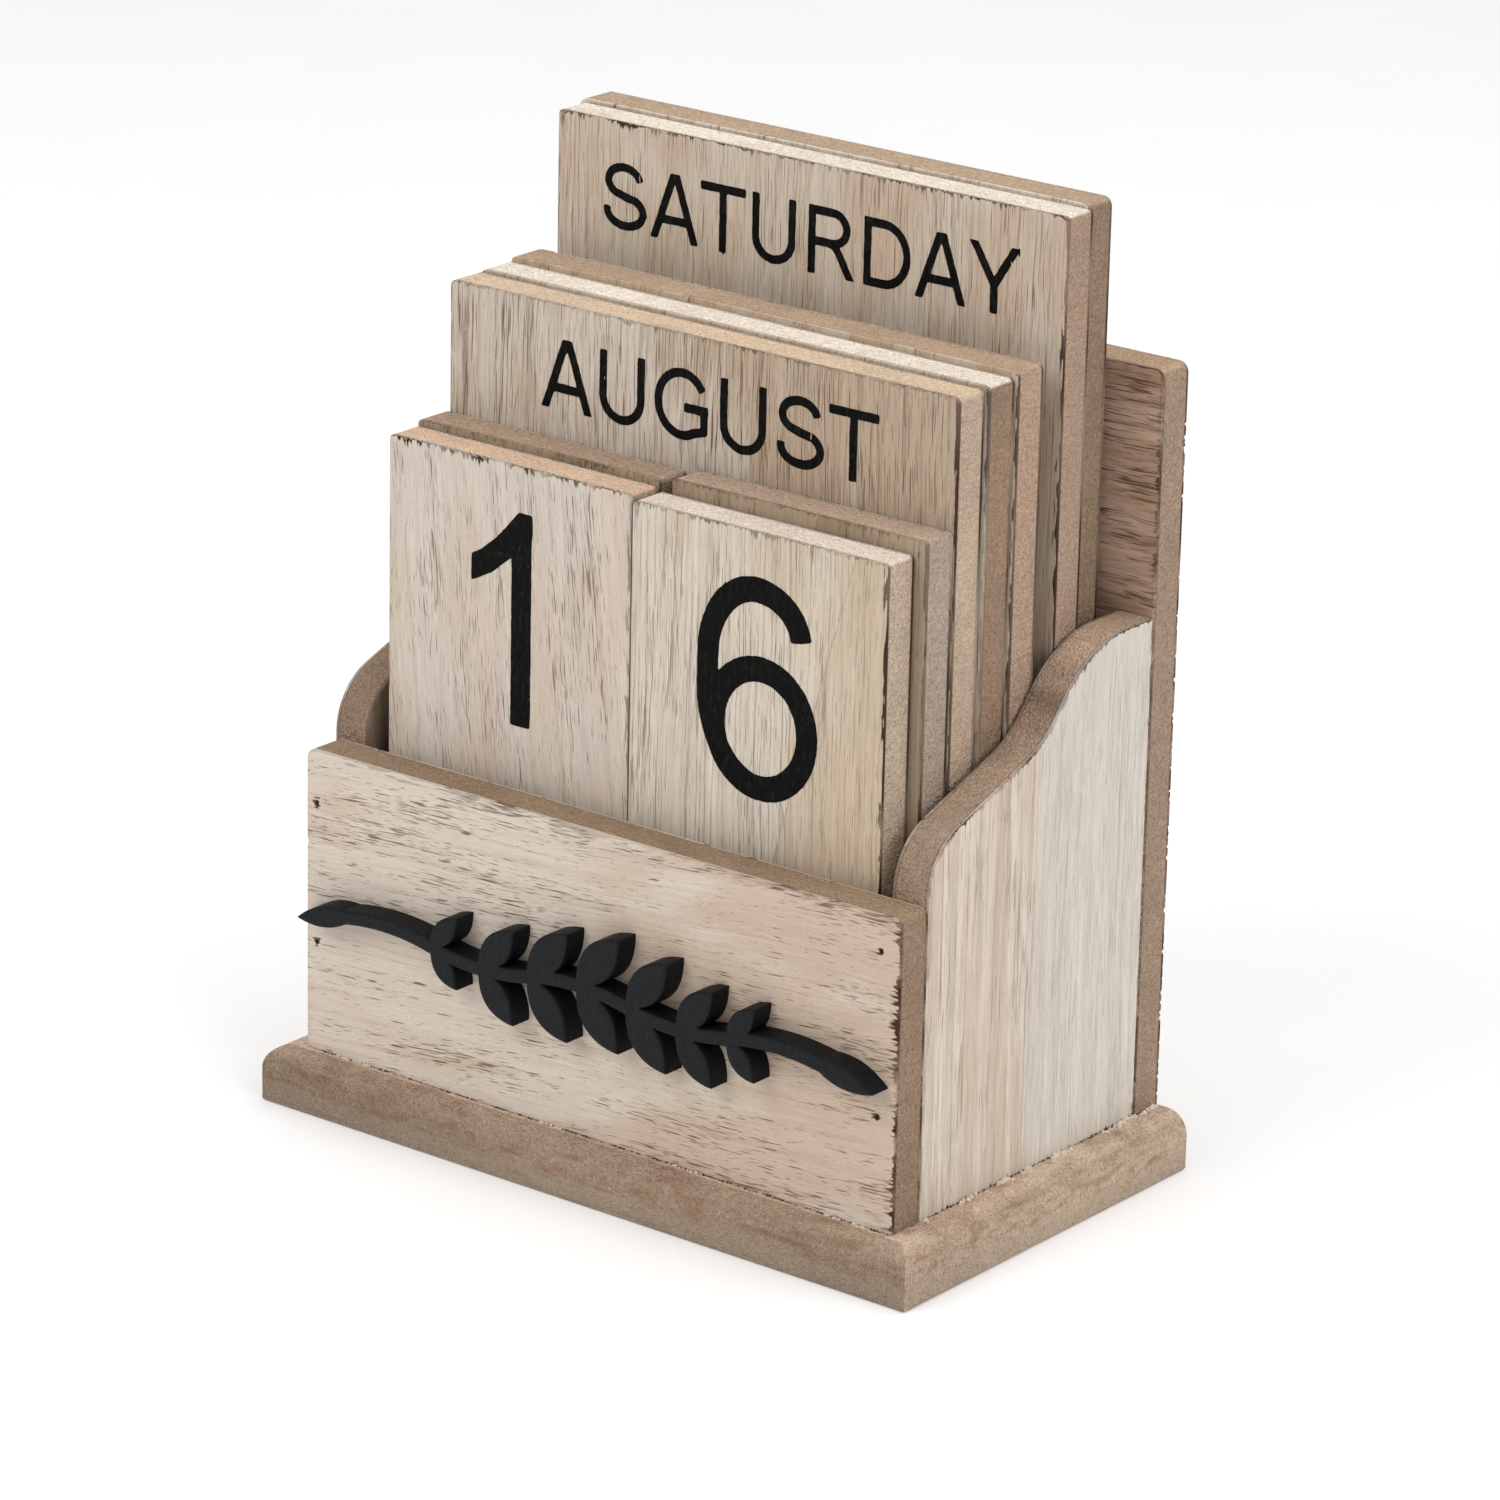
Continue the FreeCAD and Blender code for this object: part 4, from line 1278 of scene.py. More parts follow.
@dataclass(frozen=True)
class Lettering:
    """A line of plain sans-serif characters printed on a tile."""

    text: str
    height: float
    stroke: float                 # share of the height
    foot: float                   # height of the line above the frame's floor
    middle: float                 # across the tile, from its own middle
    cell: float                   # pitch of the field that is traced
    soft: float = 0.12            # rounding of corners
    rough: float = 0.07           # how far the edge wanders
    nicks: float = 0.35           # lifted fibres for each character
    spurs: float = 0.5            # specks of ink that ran along the grain
    margin: float = 0.8           # of the field round the character

    def outlines(self, rng: Random) -> list[list[np.ndarray]]:
        """Draw the characters about the middle of the line.

        Args:
            rng: Random numbers.

        Returns:
            Each blot of ink as its outline and its holes.
        """
        spans = [GLYPHS[letter][0] * self.height for letter in self.text]
        pen = -sum(spans) / 2
        found = []
        for letter, span in zip(self.text, spans):
            for group in self._character(letter, rng):
                found.append([loop + np.array([pen, 0.0]) for loop in group])
            pen += span
        return found

    def _character(self, letter: str, rng: Random) -> list[list[np.ndarray]]:
        """Trace one character.

        Args:
            letter: The character.
            rng: Random numbers.

        Returns:
            Each blot of ink as its outline and its holes.
        """
        width, strokes = GLYPHS[letter]
        xs, ys = (np.arange(-self.margin, reach + self.margin, self.cell)
                  for reach in (width * self.height, self.height))
        grid = np.stack(np.meshgrid(xs, ys, indexing="ij"), axis=-1)
        flat = grid.reshape(-1, 2)
        depth = np.full(len(flat), np.inf)
        for path in strokes:
            depth = np.minimum(depth, self._stroke(flat, trace(path) * self.height))
        depth = np.maximum(depth, np.maximum(-flat[:, 1], flat[:, 1] - self.height))
        if letter == "1":             # its flag ends in an upright cut
            depth = np.maximum(depth, -flat[:, 0])
        depth = self._smooth(depth.reshape(grid.shape[:2]))
        for size, share in ((0.9, 0.55), (0.35, 0.45)):
            depth += self.rough * share * cloud(depth.shape, max(1, round(size / self.cell)), rng)
        loops = contours(self._specks(depth, grid, rng), grid[0, 0], self.cell)
        outer = [loop for loop in loops if area(loop) > 0]
        holes = [loop for loop in loops if area(loop) < 0]
        return [[shape, *[hole for hole in holes if encloses(shape, hole[:1])[0]]] for shape in outer]

    def _specks(self, depth: np.ndarray, grid: np.ndarray, rng: Random) -> np.ndarray:
        """Lift fibres out of the ink, and let it run into others at its rim.

        Args:
            depth: The field of one character.
            grid: Places of its samples.
            rng: Random numbers.

        Returns:
            The field with its specks.
        """
        inked = np.argwhere(depth < 0)
        rim = np.argwhere(np.abs(depth) < self.cell)
        for places, count, lifted in ((inked, self.nicks, True), (rim, self.spurs, False)):
            for _ in range(rng.poisson(count)):
                i, j = places[rng.integers(len(places))]
                away = grid - grid[i, j]
                lean = rng.uniform(-0.12, 0.12)
                wide, tall = rng.uniform(0.08, 0.14), rng.uniform(0.25, 0.7)
                speck = np.hypot((away[..., 0] - lean * away[..., 1]) / wide, away[..., 1] / tall) - 1
                depth = np.maximum(depth, -speck * 0.1) if lifted else np.minimum(depth, speck * 0.1)
        return depth

    def _smooth(self, depth: np.ndarray) -> np.ndarray:
        """Average the field over a small square, which rounds the corners of the strokes.

        Args:
            depth: The field of one character.

        Returns:
            The smoother field.
        """
        reach = max(1, round(self.soft / self.cell))
        for axis in (0, 1):
            steps = range(-reach, reach + 1)
            depth = sum(np.roll(depth, step, axis=axis) for step in steps) / len(steps)
        return depth

    def _stroke(self, points: np.ndarray, path: np.ndarray) -> np.ndarray:
        """Measure how far points lie outside one square-ended stroke.

        Args:
            points: The points.
            path: Points along the middle of the stroke.

        Returns:
            The distance of each point, below zero inside.
        """
        best = np.full(len(points), np.inf)
        clip = np.full(len(points), -np.inf)
        last = len(path) - 2
        for index, (start, end) in enumerate(zip(path[:-1], path[1:])):
            run = end - start
            length = np.linalg.norm(run)
            share = (points - start) @ run / (run @ run)
            gap = np.linalg.norm(points - start - np.clip(share, 0, 1)[:, None] * run, axis=1)
            beyond = np.full(len(points), -np.inf)
            if index == 0:
                beyond = np.where(share < 0, -share * length, beyond)
            if index == last:
                beyond = np.where(share > 1, (share - 1) * length, beyond)
            clip = np.where(gap < best, beyond, clip)
            best = np.minimum(best, gap)
        return np.maximum(best - self.stroke * self.height / 2, clip)


@dataclass
class Print:
    """All the lettering on one tile, as thin ink on both of its faces."""

    tile: str
    lines: dict[Face, list[Lettering]]    # the second on a face is upside down
    seed: int
    thickness: float = 0.05
    soaked: float = 0.02          # how deep the ink goes into the wood

    def build(self) -> None:
        """Make the ink and put it on the tile."""
        rng = np.random.default_rng(self.seed)
        meshes = []
        for face, pair in self.lines.items():
            low, high = box_of(f"{self.tile}_{face.name.lower()}_veneer")
            level = (low if face is Face.FRONT else high).y
            front, back = level + face.sense * self.thickness, level - face.sense * self.soaked
            middle = np.array([low.x + high.x, low.z + high.z]) / 2
            for line, turn in zip(pair, (1, -1)):
                across = turn if face is Face.FRONT else -turn
                for group in line.outlines(rng):
                    placed = [loop + np.array([line.middle, line.foot - middle[1]]) for loop in group]
                    placed = [loop * np.array([across, turn]) + middle for loop in placed]
                    places, triangles = fill(placed, np.empty((0, 2)))
                    meshes.append(plate(places, triangles, face, front, back, {}, {}))
        material = Paint().material(f"{self.tile}_ink", self.seed, length=3.0)
        publish(f"{self.tile}_print", join_meshes("print", meshes), material, self.tile)


# ---- geometry nodes

class Recipe(Wiring):
    """One geometry node tree, which ends in real geometry with its material."""

    def __init__(self, name: str, sockets: dict[str, str]) -> None:
        """Start a tree that takes and gives geometry.

        Args:
            name: The tree's name.
            sockets: Socket types of its other inputs, by name.
        """
        self.tree = bpy.data.node_groups.new(name, "GeometryNodeTree")
        face = self.tree.interface
        face.new_socket("Geometry", in_out="INPUT", socket_type="NodeSocketGeometry")
        for key, kind in sockets.items():
            face.new_socket(key, in_out="INPUT", socket_type=f"NodeSocket{kind}")
        face.new_socket("Geometry", in_out="OUTPUT", socket_type="NodeSocketGeometry")
        self.given = self.tree.nodes.new("NodeGroupInput").outputs
        self.result = self.tree.nodes.new("NodeGroupOutput").inputs[0]

    def geo(self, kind: str, sockets: dict, **settings: object) -> Socket:
        """Add a geometry node and return its first output."""
        return self.node("GeometryNode" + kind, sockets, **settings).outputs[0]

    def above(self, value: object, limit: object) -> Socket:
        """Tell whether a number is greater than a limit."""
        made = self.node("FunctionNodeCompare", {0: value, 1: limit}, operation="GREATER_THAN")
        return made.outputs[0]

    def random(self, low: object, high: object, seed: int) -> Socket:
        """Draw a number, or a vector, for each point.

        Args:
            low: The least that it may be.
            high: The most.
            seed: Which draw it is.

        Returns:
            The number or vector.
        """
        kind, first = ("FLOAT_VECTOR", 0) if isinstance(low, tuple) else ("FLOAT", 2)
        sockets = {first: low, first + 1: high, "Seed": seed}
        made = self.node("FunctionNodeRandomValue", sockets, data_type=kind)
        return made.outputs[first // 2]

    def end(self, geometry: Socket) -> None:
        """Make the instances real, give them the material input and hand them over.

        Args:
            geometry: What the tree has made.
        """
        real = self.geo("RealizeInstances", {0: geometry})
        painted = self.geo("SetMaterial", {"Geometry": real, "Material": self.given["Material"]})
        self.tree.links.new(painted, self.result)

    def run(self, name: str, mesh: Mesh, values: dict[str, object]) -> Mesh:
        """Run the tree on a mesh.

        Args:
            name: The passing object's name.
            mesh: The mesh that it starts from.
            values: Values of its inputs, by name.

        Returns:
            The plain result.
        """
        def dress(holder: Object) -> None:
            """Add the tree to the object, with its inputs set."""
            modifier = holder.modifiers.new("nodes", "NODES")
            modifier.node_group = self.tree
            for item in self.tree.interface.items_tree:
                if item.in_out == "INPUT" and item.name in values:
                    modifier[item.identifier] = values[item.name]

        return applied(name, mesh, dress)


# ---- base

@dataclass
class Base:
    """Bullnosed fibreboard base with the brads' sunk holes underneath."""

    rounding: float = 3.6
    easing: float = 0.5
    hole_half: tuple[float, float] = (0.55, 1.0)
    hole_depth: float = 0.95
    finish: Fibreboard = Fibreboard(side="a48e79", top="dfc6af", scuff=0.35, moulded=3.2)
    seed: int = 3

    def build(self) -> None:
        """Make the base and put it in the frame node's place."""
        low, high = box_of("base_board")
        build = bmesh.new()
        bmesh.ops.create_cube(build, size=1.0)
        bmesh.ops.scale(build, vec=high - low, verts=build.verts)
        bmesh.ops.translate(build, vec=(high + low) / 2, verts=build.verts)

        def level_edges(height: float, with_back: bool) -> list:
            """Find the edges at a height."""
            return [edge for edge in build.edges
                    if all(abs(v.co.z - height) < ON_FACE for v in edge.verts)
                    and (with_back or not all(abs(v.co.y - high.y) < ON_FACE for v in edge.verts))]

        bevels = ((high.z, False, self.rounding, 12), (low.z, True, self.easing, 3))
        for height, with_back, offset, segments in bevels:
            bmesh.ops.bevel(build, geom=level_edges(height, with_back), offset=offset,
                            segments=segments, profile=0.5, affect="EDGES")
        mesh = bpy.data.meshes.new("base")
        build.to_mesh(mesh)
        build.free()
        mesh.transform(Matrix.Scale(MM, 4))
        holes = self._cutters()
        mesh = applied("base", mesh, lambda holder: self._cut(holder, holes))
        # upper faces and the ends are paler: partly sanding, partly painted light
        give(mesh, "tone", [self._tone(polygon.normal) for polygon in mesh.polygons], "FACE")
        give(mesh, "rim", [NO_RIM] * len(mesh.polygons), "FACE")
        for polygon in mesh.polygons:     # the strips of the rounding, not the flat faces
            polygon.use_smooth = len(polygon.vertices) == 4 and polygon.area < 0.0006
        material = self.finish.material("base_fibreboard", self.seed)
        publish("base_moulding", mesh, material, "tray", ["base_board"])

    @staticmethod
    def _tone(normal: Vector) -> float:
        """How pale a face is by the way it faces: upper faces, less so in front, and the ends a little;
        partly sanding, partly painted light.
        """
        return max(normal.z ** 2 * (0.4 if normal.y < -0.1 else 1.0), 0.55 * abs(normal.x))

    def _cutters(self) -> Mesh:
        """Make blocks where the base's brads went in.

        Returns:
            The blocks.
        """
        half_x, half_y = self.hole_half
        faces = [[0, 1, 3, 2], [4, 5, 7, 6], [0, 1, 5, 4], [2, 3, 7, 6], [0, 2, 6, 4], [1, 3, 7, 5]]
        meshes = []
        for x, y in Brads.centres("base_brads", (0, 1)):
            points = [(x + i * half_x, y + j * half_y, level)
                      for level in (-1.0, self.hole_depth) for j in (-1, 1) for i in (-1, 1)]
            meshes.append(shell(np.array(points), faces))
        return join_meshes("cutters", meshes)

    @staticmethod
    def _cut(holder: Object, holes: Mesh) -> None:
        """Subtract the blocks.

        Args:
            holder: The base.
            holes: The blocks.
        """
        cutter = added("cutter", holes)
        cutter.hide_render = True
        modifier = holder.modifiers.new("holes", "BOOLEAN")
        modifier.object = cutter
        modifier.solver = "EXACT"
        modifier.operation = "DIFFERENCE"


# ---- brads

BRAD_REACH = 4.0                  # points nearer than this belong to one brad


@dataclass
class Brads:
    """Flat wire brads with wider heads, in groups that point the same way."""

    width: float = 1.2
    thickness: float = 1.0
    head_width: float = 1.9
    head_height: float = 0.5
    point: float = 1.5

    @staticmethod
    def centres(node: str, plane: tuple[int, int]) -> list[tuple[float, float]]:
        """Find the middle of each brad of a group, in one plane.

        Args:
            node: The frame node that holds the group.
            plane: Indices of the plane's axes.

        Returns:
            The middles.
        """
        places = np.array([tuple(v.co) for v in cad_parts[node].data.vertices])[:, plane] / MM
        groups: list[list[np.ndarray]] = []
        for place in places:
            for group in groups:
                if np.linalg.norm(group[0] - place) < BRAD_REACH:
                    group.append(place)
                    break
            else:
                groups.append([place])
        return [tuple((np.min(g, axis=0) + np.max(g, axis=0)) / 2) for g in groups]

    def build(self) -> None:
        """Make the three groups and put them in the frame nodes' places."""
        recipe = self._recipe()
        steel = Steel().material("brad_wire")
        turns = {"front_brads": ((0, 2), 1, -1, (-90, 0, 0)), "back_brads": ((0, 2), 1, 1, (90, 0, 0)),
                 "base_brads": ((0, 1), 2, -1, (0, 0, 0))}
        for node, (plane, axis, sense, turn) in turns.items():
            low, high = box_of(node)
            pairs = self.centres(node, plane)
            points = np.empty((len(pairs), 3))
            points[:, list(plane)] = pairs
            points[:, axis] = (low if sense < 0 else high)[axis]
            mesh = bpy.data.meshes.new(node)
            mesh.from_pydata((points * MM).tolist(), [], [])
            sizes = {"Width": self.width, "Thickness": self.thickness, "Head Width": self.head_width,
                     "Head Height": self.head_height, "Point": self.point, "Length": (high - low)[axis]}
            values = {"Turn": Euler([math.radians(a) for a in turn]), "Material": steel,
                      **{key: size * MM for key, size in sizes.items()}}
            publish(f"{node}_wire", recipe.run(node, mesh, values), steel, "tray", [node])

    @staticmethod
    def _recipe() -> Recipe:
        """Stand a brad on every point: a head, a shank and a four-sided point.

        Returns:
            The tree.
        """
        sizes = ("Width", "Thickness", "Head Width", "Head Height", "Point", "Length")
        recipe = Recipe("brads", {
            **dict.fromkeys(sizes, "Float"), "Turn": "Rotation", "Material": "Material"})
        given = recipe.given

        def block(width: object, low: object, high: object) -> Socket:
            """Make a length of wire from one height to another."""
            size = recipe.vector(given["Thickness"], width, recipe.math("SUBTRACT", high, low))
            cube = recipe.geo("MeshCube", {"Size": size})
            rise = recipe.times(recipe.math("ADD", low, high), 0.5)
            return recipe.geo("Transform", {"Geometry": cube, "Translation": recipe.vector(0.0, 0.0, rise)})

        shank_end = recipe.math("SUBTRACT", given["Length"], given["Point"])
        head = block(given["Head Width"], 0.0, given["Head Height"])
        shank = block(given["Width"], given["Head Height"], shank_end)
        cone = recipe.geo("MeshCone", {
            "Vertices": 4, "Radius Top": 0.0, "Radius Bottom": math.sqrt(0.5), "Depth": given["Point"]})
        quarter = recipe.geo("Transform", {"Geometry": cone, "Rotation": Euler((0, 0, math.pi / 4))})
        scale = recipe.vector(given["Thickness"], given["Width"], 1.0)
        place = recipe.vector(0.0, 0.0, shank_end)
        tip = recipe.geo("Transform", {"Geometry": quarter, "Translation": place, "Scale": scale})
        brad = recipe.geo("JoinGeometry", {0: [head, shank, tip]})
        points = recipe.geo("MeshToPoints", {0: given["Geometry"]})
        recipe.end(recipe.geo("InstanceOnPoints", {
            "Points": points, "Instance": brad, "Rotation": given["Turn"]}))
        return recipe


# ---- leaf sprig

@dataclass
class Sprig:
    """Leaf sprig cut from board and painted black: leaves set along a waving stem."""

    waves: int = 5
    wave: float = 18.4
    radius: float = 40.0
    stem_width: float = 2.2
    leaf_length: float = 11.8
    leaf_width: float = 5.6
    leaf_angle: float = 48.0
    fullness: tuple[float, ...] = (0.64, 0.84, 0.96, 1.0, 0.96, 0.84, 0.64)
    tip_length: float = 12.0
    tip_width: float = 3.3
    tip_overlap: float = 4.0
    arris: float = 0.35
    wave_steps: int = 12          # runs in one wave of the stem
    step: float = 0.5             # longest step along the outline
    paint: Paint = Paint(body="16181b", worn="202226", fleck="4a4946", fleck_share=0.25,
                         roughness=0.5, gloss=0.12, side=0.45)

    def build(self) -> None:
        """Make the sprig and put it in the frame node's place."""
        low, high = box_of("front_sprig")
        recipe = self._recipe()
        material = self.paint.material("sprig_paint", 5)
        values = {"Thickness": (high.y - low.y) * MM, "Stem Width": self.stem_width * MM,
                  "Material": material}
        cut = recipe.run("sprig", self._skeleton(), values)
        outline = max(face_loops(cut, Face.FRONT), key=area)
        outline = refine(outline, lambda way: self.step)
        out = normals(outline)
        rings = []
        for reach in (0.08, 0.18, self.arris, 0.8):
            ring = outline - out * reach
            rings.append(ring[nearest(ring, outline) > reach * 0.96])
        places, triangles = fill([outline], np.concatenate(rings))
        depth = np.minimum(nearest(places, outline), self.arris)
        front = low.y + self.arris - np.sqrt(self.arris ** 2 - (self.arris - depth) ** 2)
        places[:, 1] += (low.z + high.z) / 2
        mesh = plate(places, triangles, Face.FRONT, front, high.y, {"rim": depth},
                     {"rim": np.zeros(len(places))})
        publish("sprig_cutout", mesh, material, "tray", ["front_sprig"])

    def _skeleton(self) -> Mesh:
        """Draw the stem's line, and a lone point with a size and an angle for each leaf and tip.

        Returns:
            The line and the points, about the sprig's middle.
        """
        half_angle = math.asin(self.wave / (2 * self.radius))
        crown = self.radius * (1 - math.cos(half_angle))
        start = -self.waves * self.wave / 2
        points = []
        for number in range(self.waves):
            side = 1 if number % 2 == 0 else -1
            middle = start + self.wave * (number + 0.5)
            for step in range(0 if number == 0 else 1, self.wave_steps + 1):
                angle = half_angle * (2 * step / self.wave_steps - 1)
                rise = self.radius * math.cos(angle) - self.radius * math.cos(half_angle)
                points.append((middle + self.radius * math.sin(angle), 0.0, side * rise))
        edges = [(i, i + 1) for i in range(len(points) - 1)]
        sizes = [(0.0, 0.0)] * len(points)
        turns = [0.0] * len(points)
        for station, share in enumerate(self.fullness, start=2):
            foot = (start + self.wave * station / 2, 0.0, (0.0, crown, 0.0, -crown)[station % 4])
            for angle in (self.leaf_angle, -self.leaf_angle):
                points.append(foot)
                sizes.append((self.leaf_length * share, self.leaf_width * share))
                turns.append(math.radians(angle))
        lift = self.tip_overlap * math.tan(half_angle)
        for side in (1, -1):
            points.append((side * (-start - self.tip_overlap), 0.0, lift))
            sizes.append((self.tip_length, self.tip_width))
            turns.append(-half_angle if side > 0 else half_angle + math.pi)
        mesh = bpy.data.meshes.new("skeleton")
        mesh.from_pydata((np.array(points) * MM).tolist(), edges, [])
        lengths, breadths = (np.array(sizes) * MM).T
        for name, values in (("length", lengths), ("breadth", breadths), ("turn", turns)):
            give(mesh, name, values)
        return mesh

    @staticmethod
    def _flush(recipe: Recipe, solid: Socket) -> Socket:
        """Bring every front and back exactly into the same two planes.

        Args:
            recipe: The tree.
            solid: A part of the sprig.

        Returns:
            The same part, flush.
        """
        place = recipe.geo("InputPosition", {})
        x, y, z = recipe.node("ShaderNodeSeparateXYZ", {0: place}).outputs
        thickness = recipe.given["Thickness"]
        level = recipe.times(recipe.math("ROUND", recipe.math("DIVIDE", y, thickness)), thickness)
        flat = recipe.vector(x, level, z)
        return recipe.geo("SetPosition", {0: solid, "Position": flat})

    def _recipe(self) -> Recipe:
        """Give the stem its section, set a leaf on each lone point and fuse them all.

        Returns:
            The tree.
        """
        recipe = Recipe("sprig", {"Thickness": "Float", "Stem Width": "Float", "Material": "Material"})
        given = recipe.given

        def named(name: str) -> Socket:
            """Read a number that each point carries."""
            return recipe.geo("InputNamedAttribute", {"Name": name}, data_type="FLOAT")

        is_leaf = recipe.above(named("length"), 0.0)
        leaf_points, stem_line = recipe.node("GeometryNodeSeparateGeometry", {
            0: given["Geometry"], 1: is_leaf}, domain="POINT").outputs
        curve = recipe.geo("MeshToCurve", {0: stem_line})
        section = recipe.geo("CurvePrimitiveQuadrilateral", {
            "Width": given["Thickness"], "Height": given["Stem Width"]})
        level = recipe.geo("SetCurveNormal", {0: curve}, mode="Z_UP")
        stem = recipe.geo("CurveToMesh", {0: level, 1: section, "Fill Caps": True})
        back = recipe.times(given["Thickness"], -0.5)
        stem = recipe.geo("Transform", {0: stem, "Translation": recipe.vector(0.0, back, 0.0)})

        arcs = []
        for side in (1, -1):
            arc = recipe.geo("CurveQuadraticBezier", {
                "Resolution": 14, "Start": (0.0, 0.0, 0.0), "Middle": (0.5, side * 1.0, 0.0),
                "End": (1.0, 0.0, 0.0)})
            arcs.append(recipe.geo("CurveToMesh", {0: arc}))
        ring = recipe.geo("MergeByDistance", {0: recipe.geo("JoinGeometry", {0: arcs}), "Distance": 0.0005})
        flat = recipe.geo("FillCurve", {0: recipe.geo("MeshToCurve", {0: ring})}, mode="NGONS")
        standing = recipe.geo("Transform", {0: flat, "Rotation": Euler((math.pi / 2, 0, 0))})
        pulled = recipe.node("GeometryNodeExtrudeMesh", {
            0: standing, "Offset": (0.0, -1.0, 0.0), "Offset Scale": 1.0, "Individual": False})
        closed = recipe.geo("JoinGeometry", {0: [pulled.outputs[0], recipe.geo("FlipFaces", {0: standing})]})
        leaf = recipe.geo("MergeByDistance", {0: closed, "Distance": 0.0005})
        scale = recipe.vector(named("length"), given["Thickness"], named("breadth"))
        turn = recipe.vector(0.0, recipe.times(named("turn"), -1.0), 0.0)
        leaves = recipe.geo("InstanceOnPoints", {
            "Points": leaf_points, "Instance": leaf, "Rotation": turn, "Scale": scale})
        solids = [self._flush(recipe, solid) for solid in (stem, recipe.geo("RealizeInstances", {0: leaves}))]
        fused = recipe.geo("MeshBoolean", {"Mesh 2": solids, "Self Intersection": True},
                           operation="UNION", solver="EXACT")
        recipe.end(recipe.geo("MergeByDistance", {0: fused, "Distance": 0.01 * MM}))
        return recipe


# ---- crumbs and loose fibres

@dataclass
class Crumbs:
    """Dust and glue left along the joints between the base and the panels, and dark crumbs, partly char and
    partly painted shade, along the joint lines.
    """

    size: float = 0.75
    each: float = 0.28            # one crumb for each such length of joint
    reach: float = 0.9            # how far they lie from the joint
    front_share: float = 0.5
    side_share: float = 0.56
    front_scale: float = 0.5      # the front was brushed cleaner
    dark_share: float = 0.64
    dark_scale: float = 0.4
    pale: Fibreboard = Fibreboard(side="f3e3cf", top="f3e3cf", speckle=0.12)
    # dark crumbs along the joints: partly char, partly painted shade of the joint line
    dark: Fibreboard = Fibreboard(side="5d402d", top="5d402d")

    def build(self) -> None:
        """Scatter the crumbs along the front and the sides of the tray."""
        low, _ = box_of("front_panel_outer_veneer")
        _, high = box_of("back_panel_outer_veneer")
        right, left, front, back = high.x, low.x, low.y + 7, high.y - 1
        joints = {"right": ((right, front), (right, back), (1, 0, 0)),
                  "left": ((left, back), (left, front), (-1, 0, 0)),
                  "front": ((left + 1, low.y), (right - 0.5, low.y), (0, -0.5, 0))}
        pale = self.pale.material("joint_dust", 41)
        dark = self.dark.material("joint_char_and_shade", 43)
        recipe = self._recipe()
        sides = (self.side_share, 1.0, 1.0)
        runs = [("right", "right", pale, *sides), ("left", "left", pale, *sides),
                ("front", "front", pale, self.front_share, self.front_scale, 1.0)]
        # the dark runs paint the shade line at the panels' feet, partly char
        runs += [(f"{name}_dark", name, dark, self.dark_share, self.dark_scale, 0.2) for name in joints]
        for seed, (name, joint, material, share, scale, near) in enumerate(runs, start=11):
            start, end, away = joints[joint]
            mesh = bpy.data.meshes.new(name)
            mesh.from_pydata([(x * MM, y * MM, low.z * MM) for x, y in (start, end)], [(0, 1)], [])
            values = {"Count": int(math.dist(start, end) / self.each), "Size": self.size * scale * MM,
                      "Share": share, "Spread": tuple(near * step * self.reach * MM for step in away),
                      "Turn": 0.0 if name == "front" else math.pi / 2, "Seed": seed, "Material": material}
            made = recipe.run(name, mesh, values)
            for key, value in (("tone", 0.0), ("rim", NO_RIM)):
                give(made, key, [value] * len(made.vertices))
            publish(f"joint_dust_{name}", made, material, "tray")

    @staticmethod
    def _recipe() -> Recipe:
        """Lay flattened lumps along a line, in clusters.

        Returns:
            The tree.
        """
        recipe = Recipe("crumbs", {
            "Count": "Int", "Size": "Float", "Share": "Float", "Spread": "Vector", "Turn": "Float",
            "Seed": "Int", "Material": "Material"})
        given = recipe.given
        curve = recipe.geo("MeshToCurve", {0: given["Geometry"]})
        points = recipe.geo("CurveToPoints", {0: curve, "Count": given["Count"]}, mode="COUNT")
        where = recipe.geo("InputPosition", {})
        cluster, _ = recipe.node("ShaderNodeTexNoise", {
            "Vector": where, "Scale": 190.0, "Detail": 2.0}).outputs
        chance = recipe.affine(recipe.random(0.0, 1.0, 1), 0.14, cluster)
        dropped = recipe.above(chance, given["Share"])
        kept = recipe.geo("DeleteGeometry", {0: points, 1: dropped}, domain="POINT")
        away = recipe.math("POWER", recipe.random(0.0, 1.0, 5), 2.0)
        kept = recipe.geo("SetPosition", {0: kept, "Offset": recipe.scale(given["Spread"], away)})
        lump = recipe.geo("MeshIcoSphere", {"Radius": 1.0, "Subdivisions": 2})
        size = recipe.times(given["Size"], recipe.random(0.35, 1.0, 2))
        shape = recipe.scale(recipe.random((0.3, 0.25, 0.3), (1.6, 0.8, 0.9), 3), size)
        tilt = recipe.random((-0.3, -0.3, -0.8), (0.3, 0.3, 0.8), 4)
        turn = recipe.arrow("ADD", tilt, recipe.vector(0.0, 0.0, given["Turn"]))
        placed = recipe.geo("InstanceOnPoints", {
            "Points": kept, "Instance": lump, "Rotation": turn, "Scale": shape})
        real = recipe.geo("RealizeInstances", {0: placed})
        _, wobble = recipe.node("ShaderNodeTexNoise", {
            "Vector": where, "Scale": 5200.0, "Detail": 1.0}).outputs
        offset = recipe.scale(recipe.arrow("SUBTRACT", wobble, (0.5, 0.5, 0.5)), 0.3 * MM)
        recipe.end(recipe.geo("SetPosition", {0: real, "Offset": offset}))
        return recipe


# ---- tray

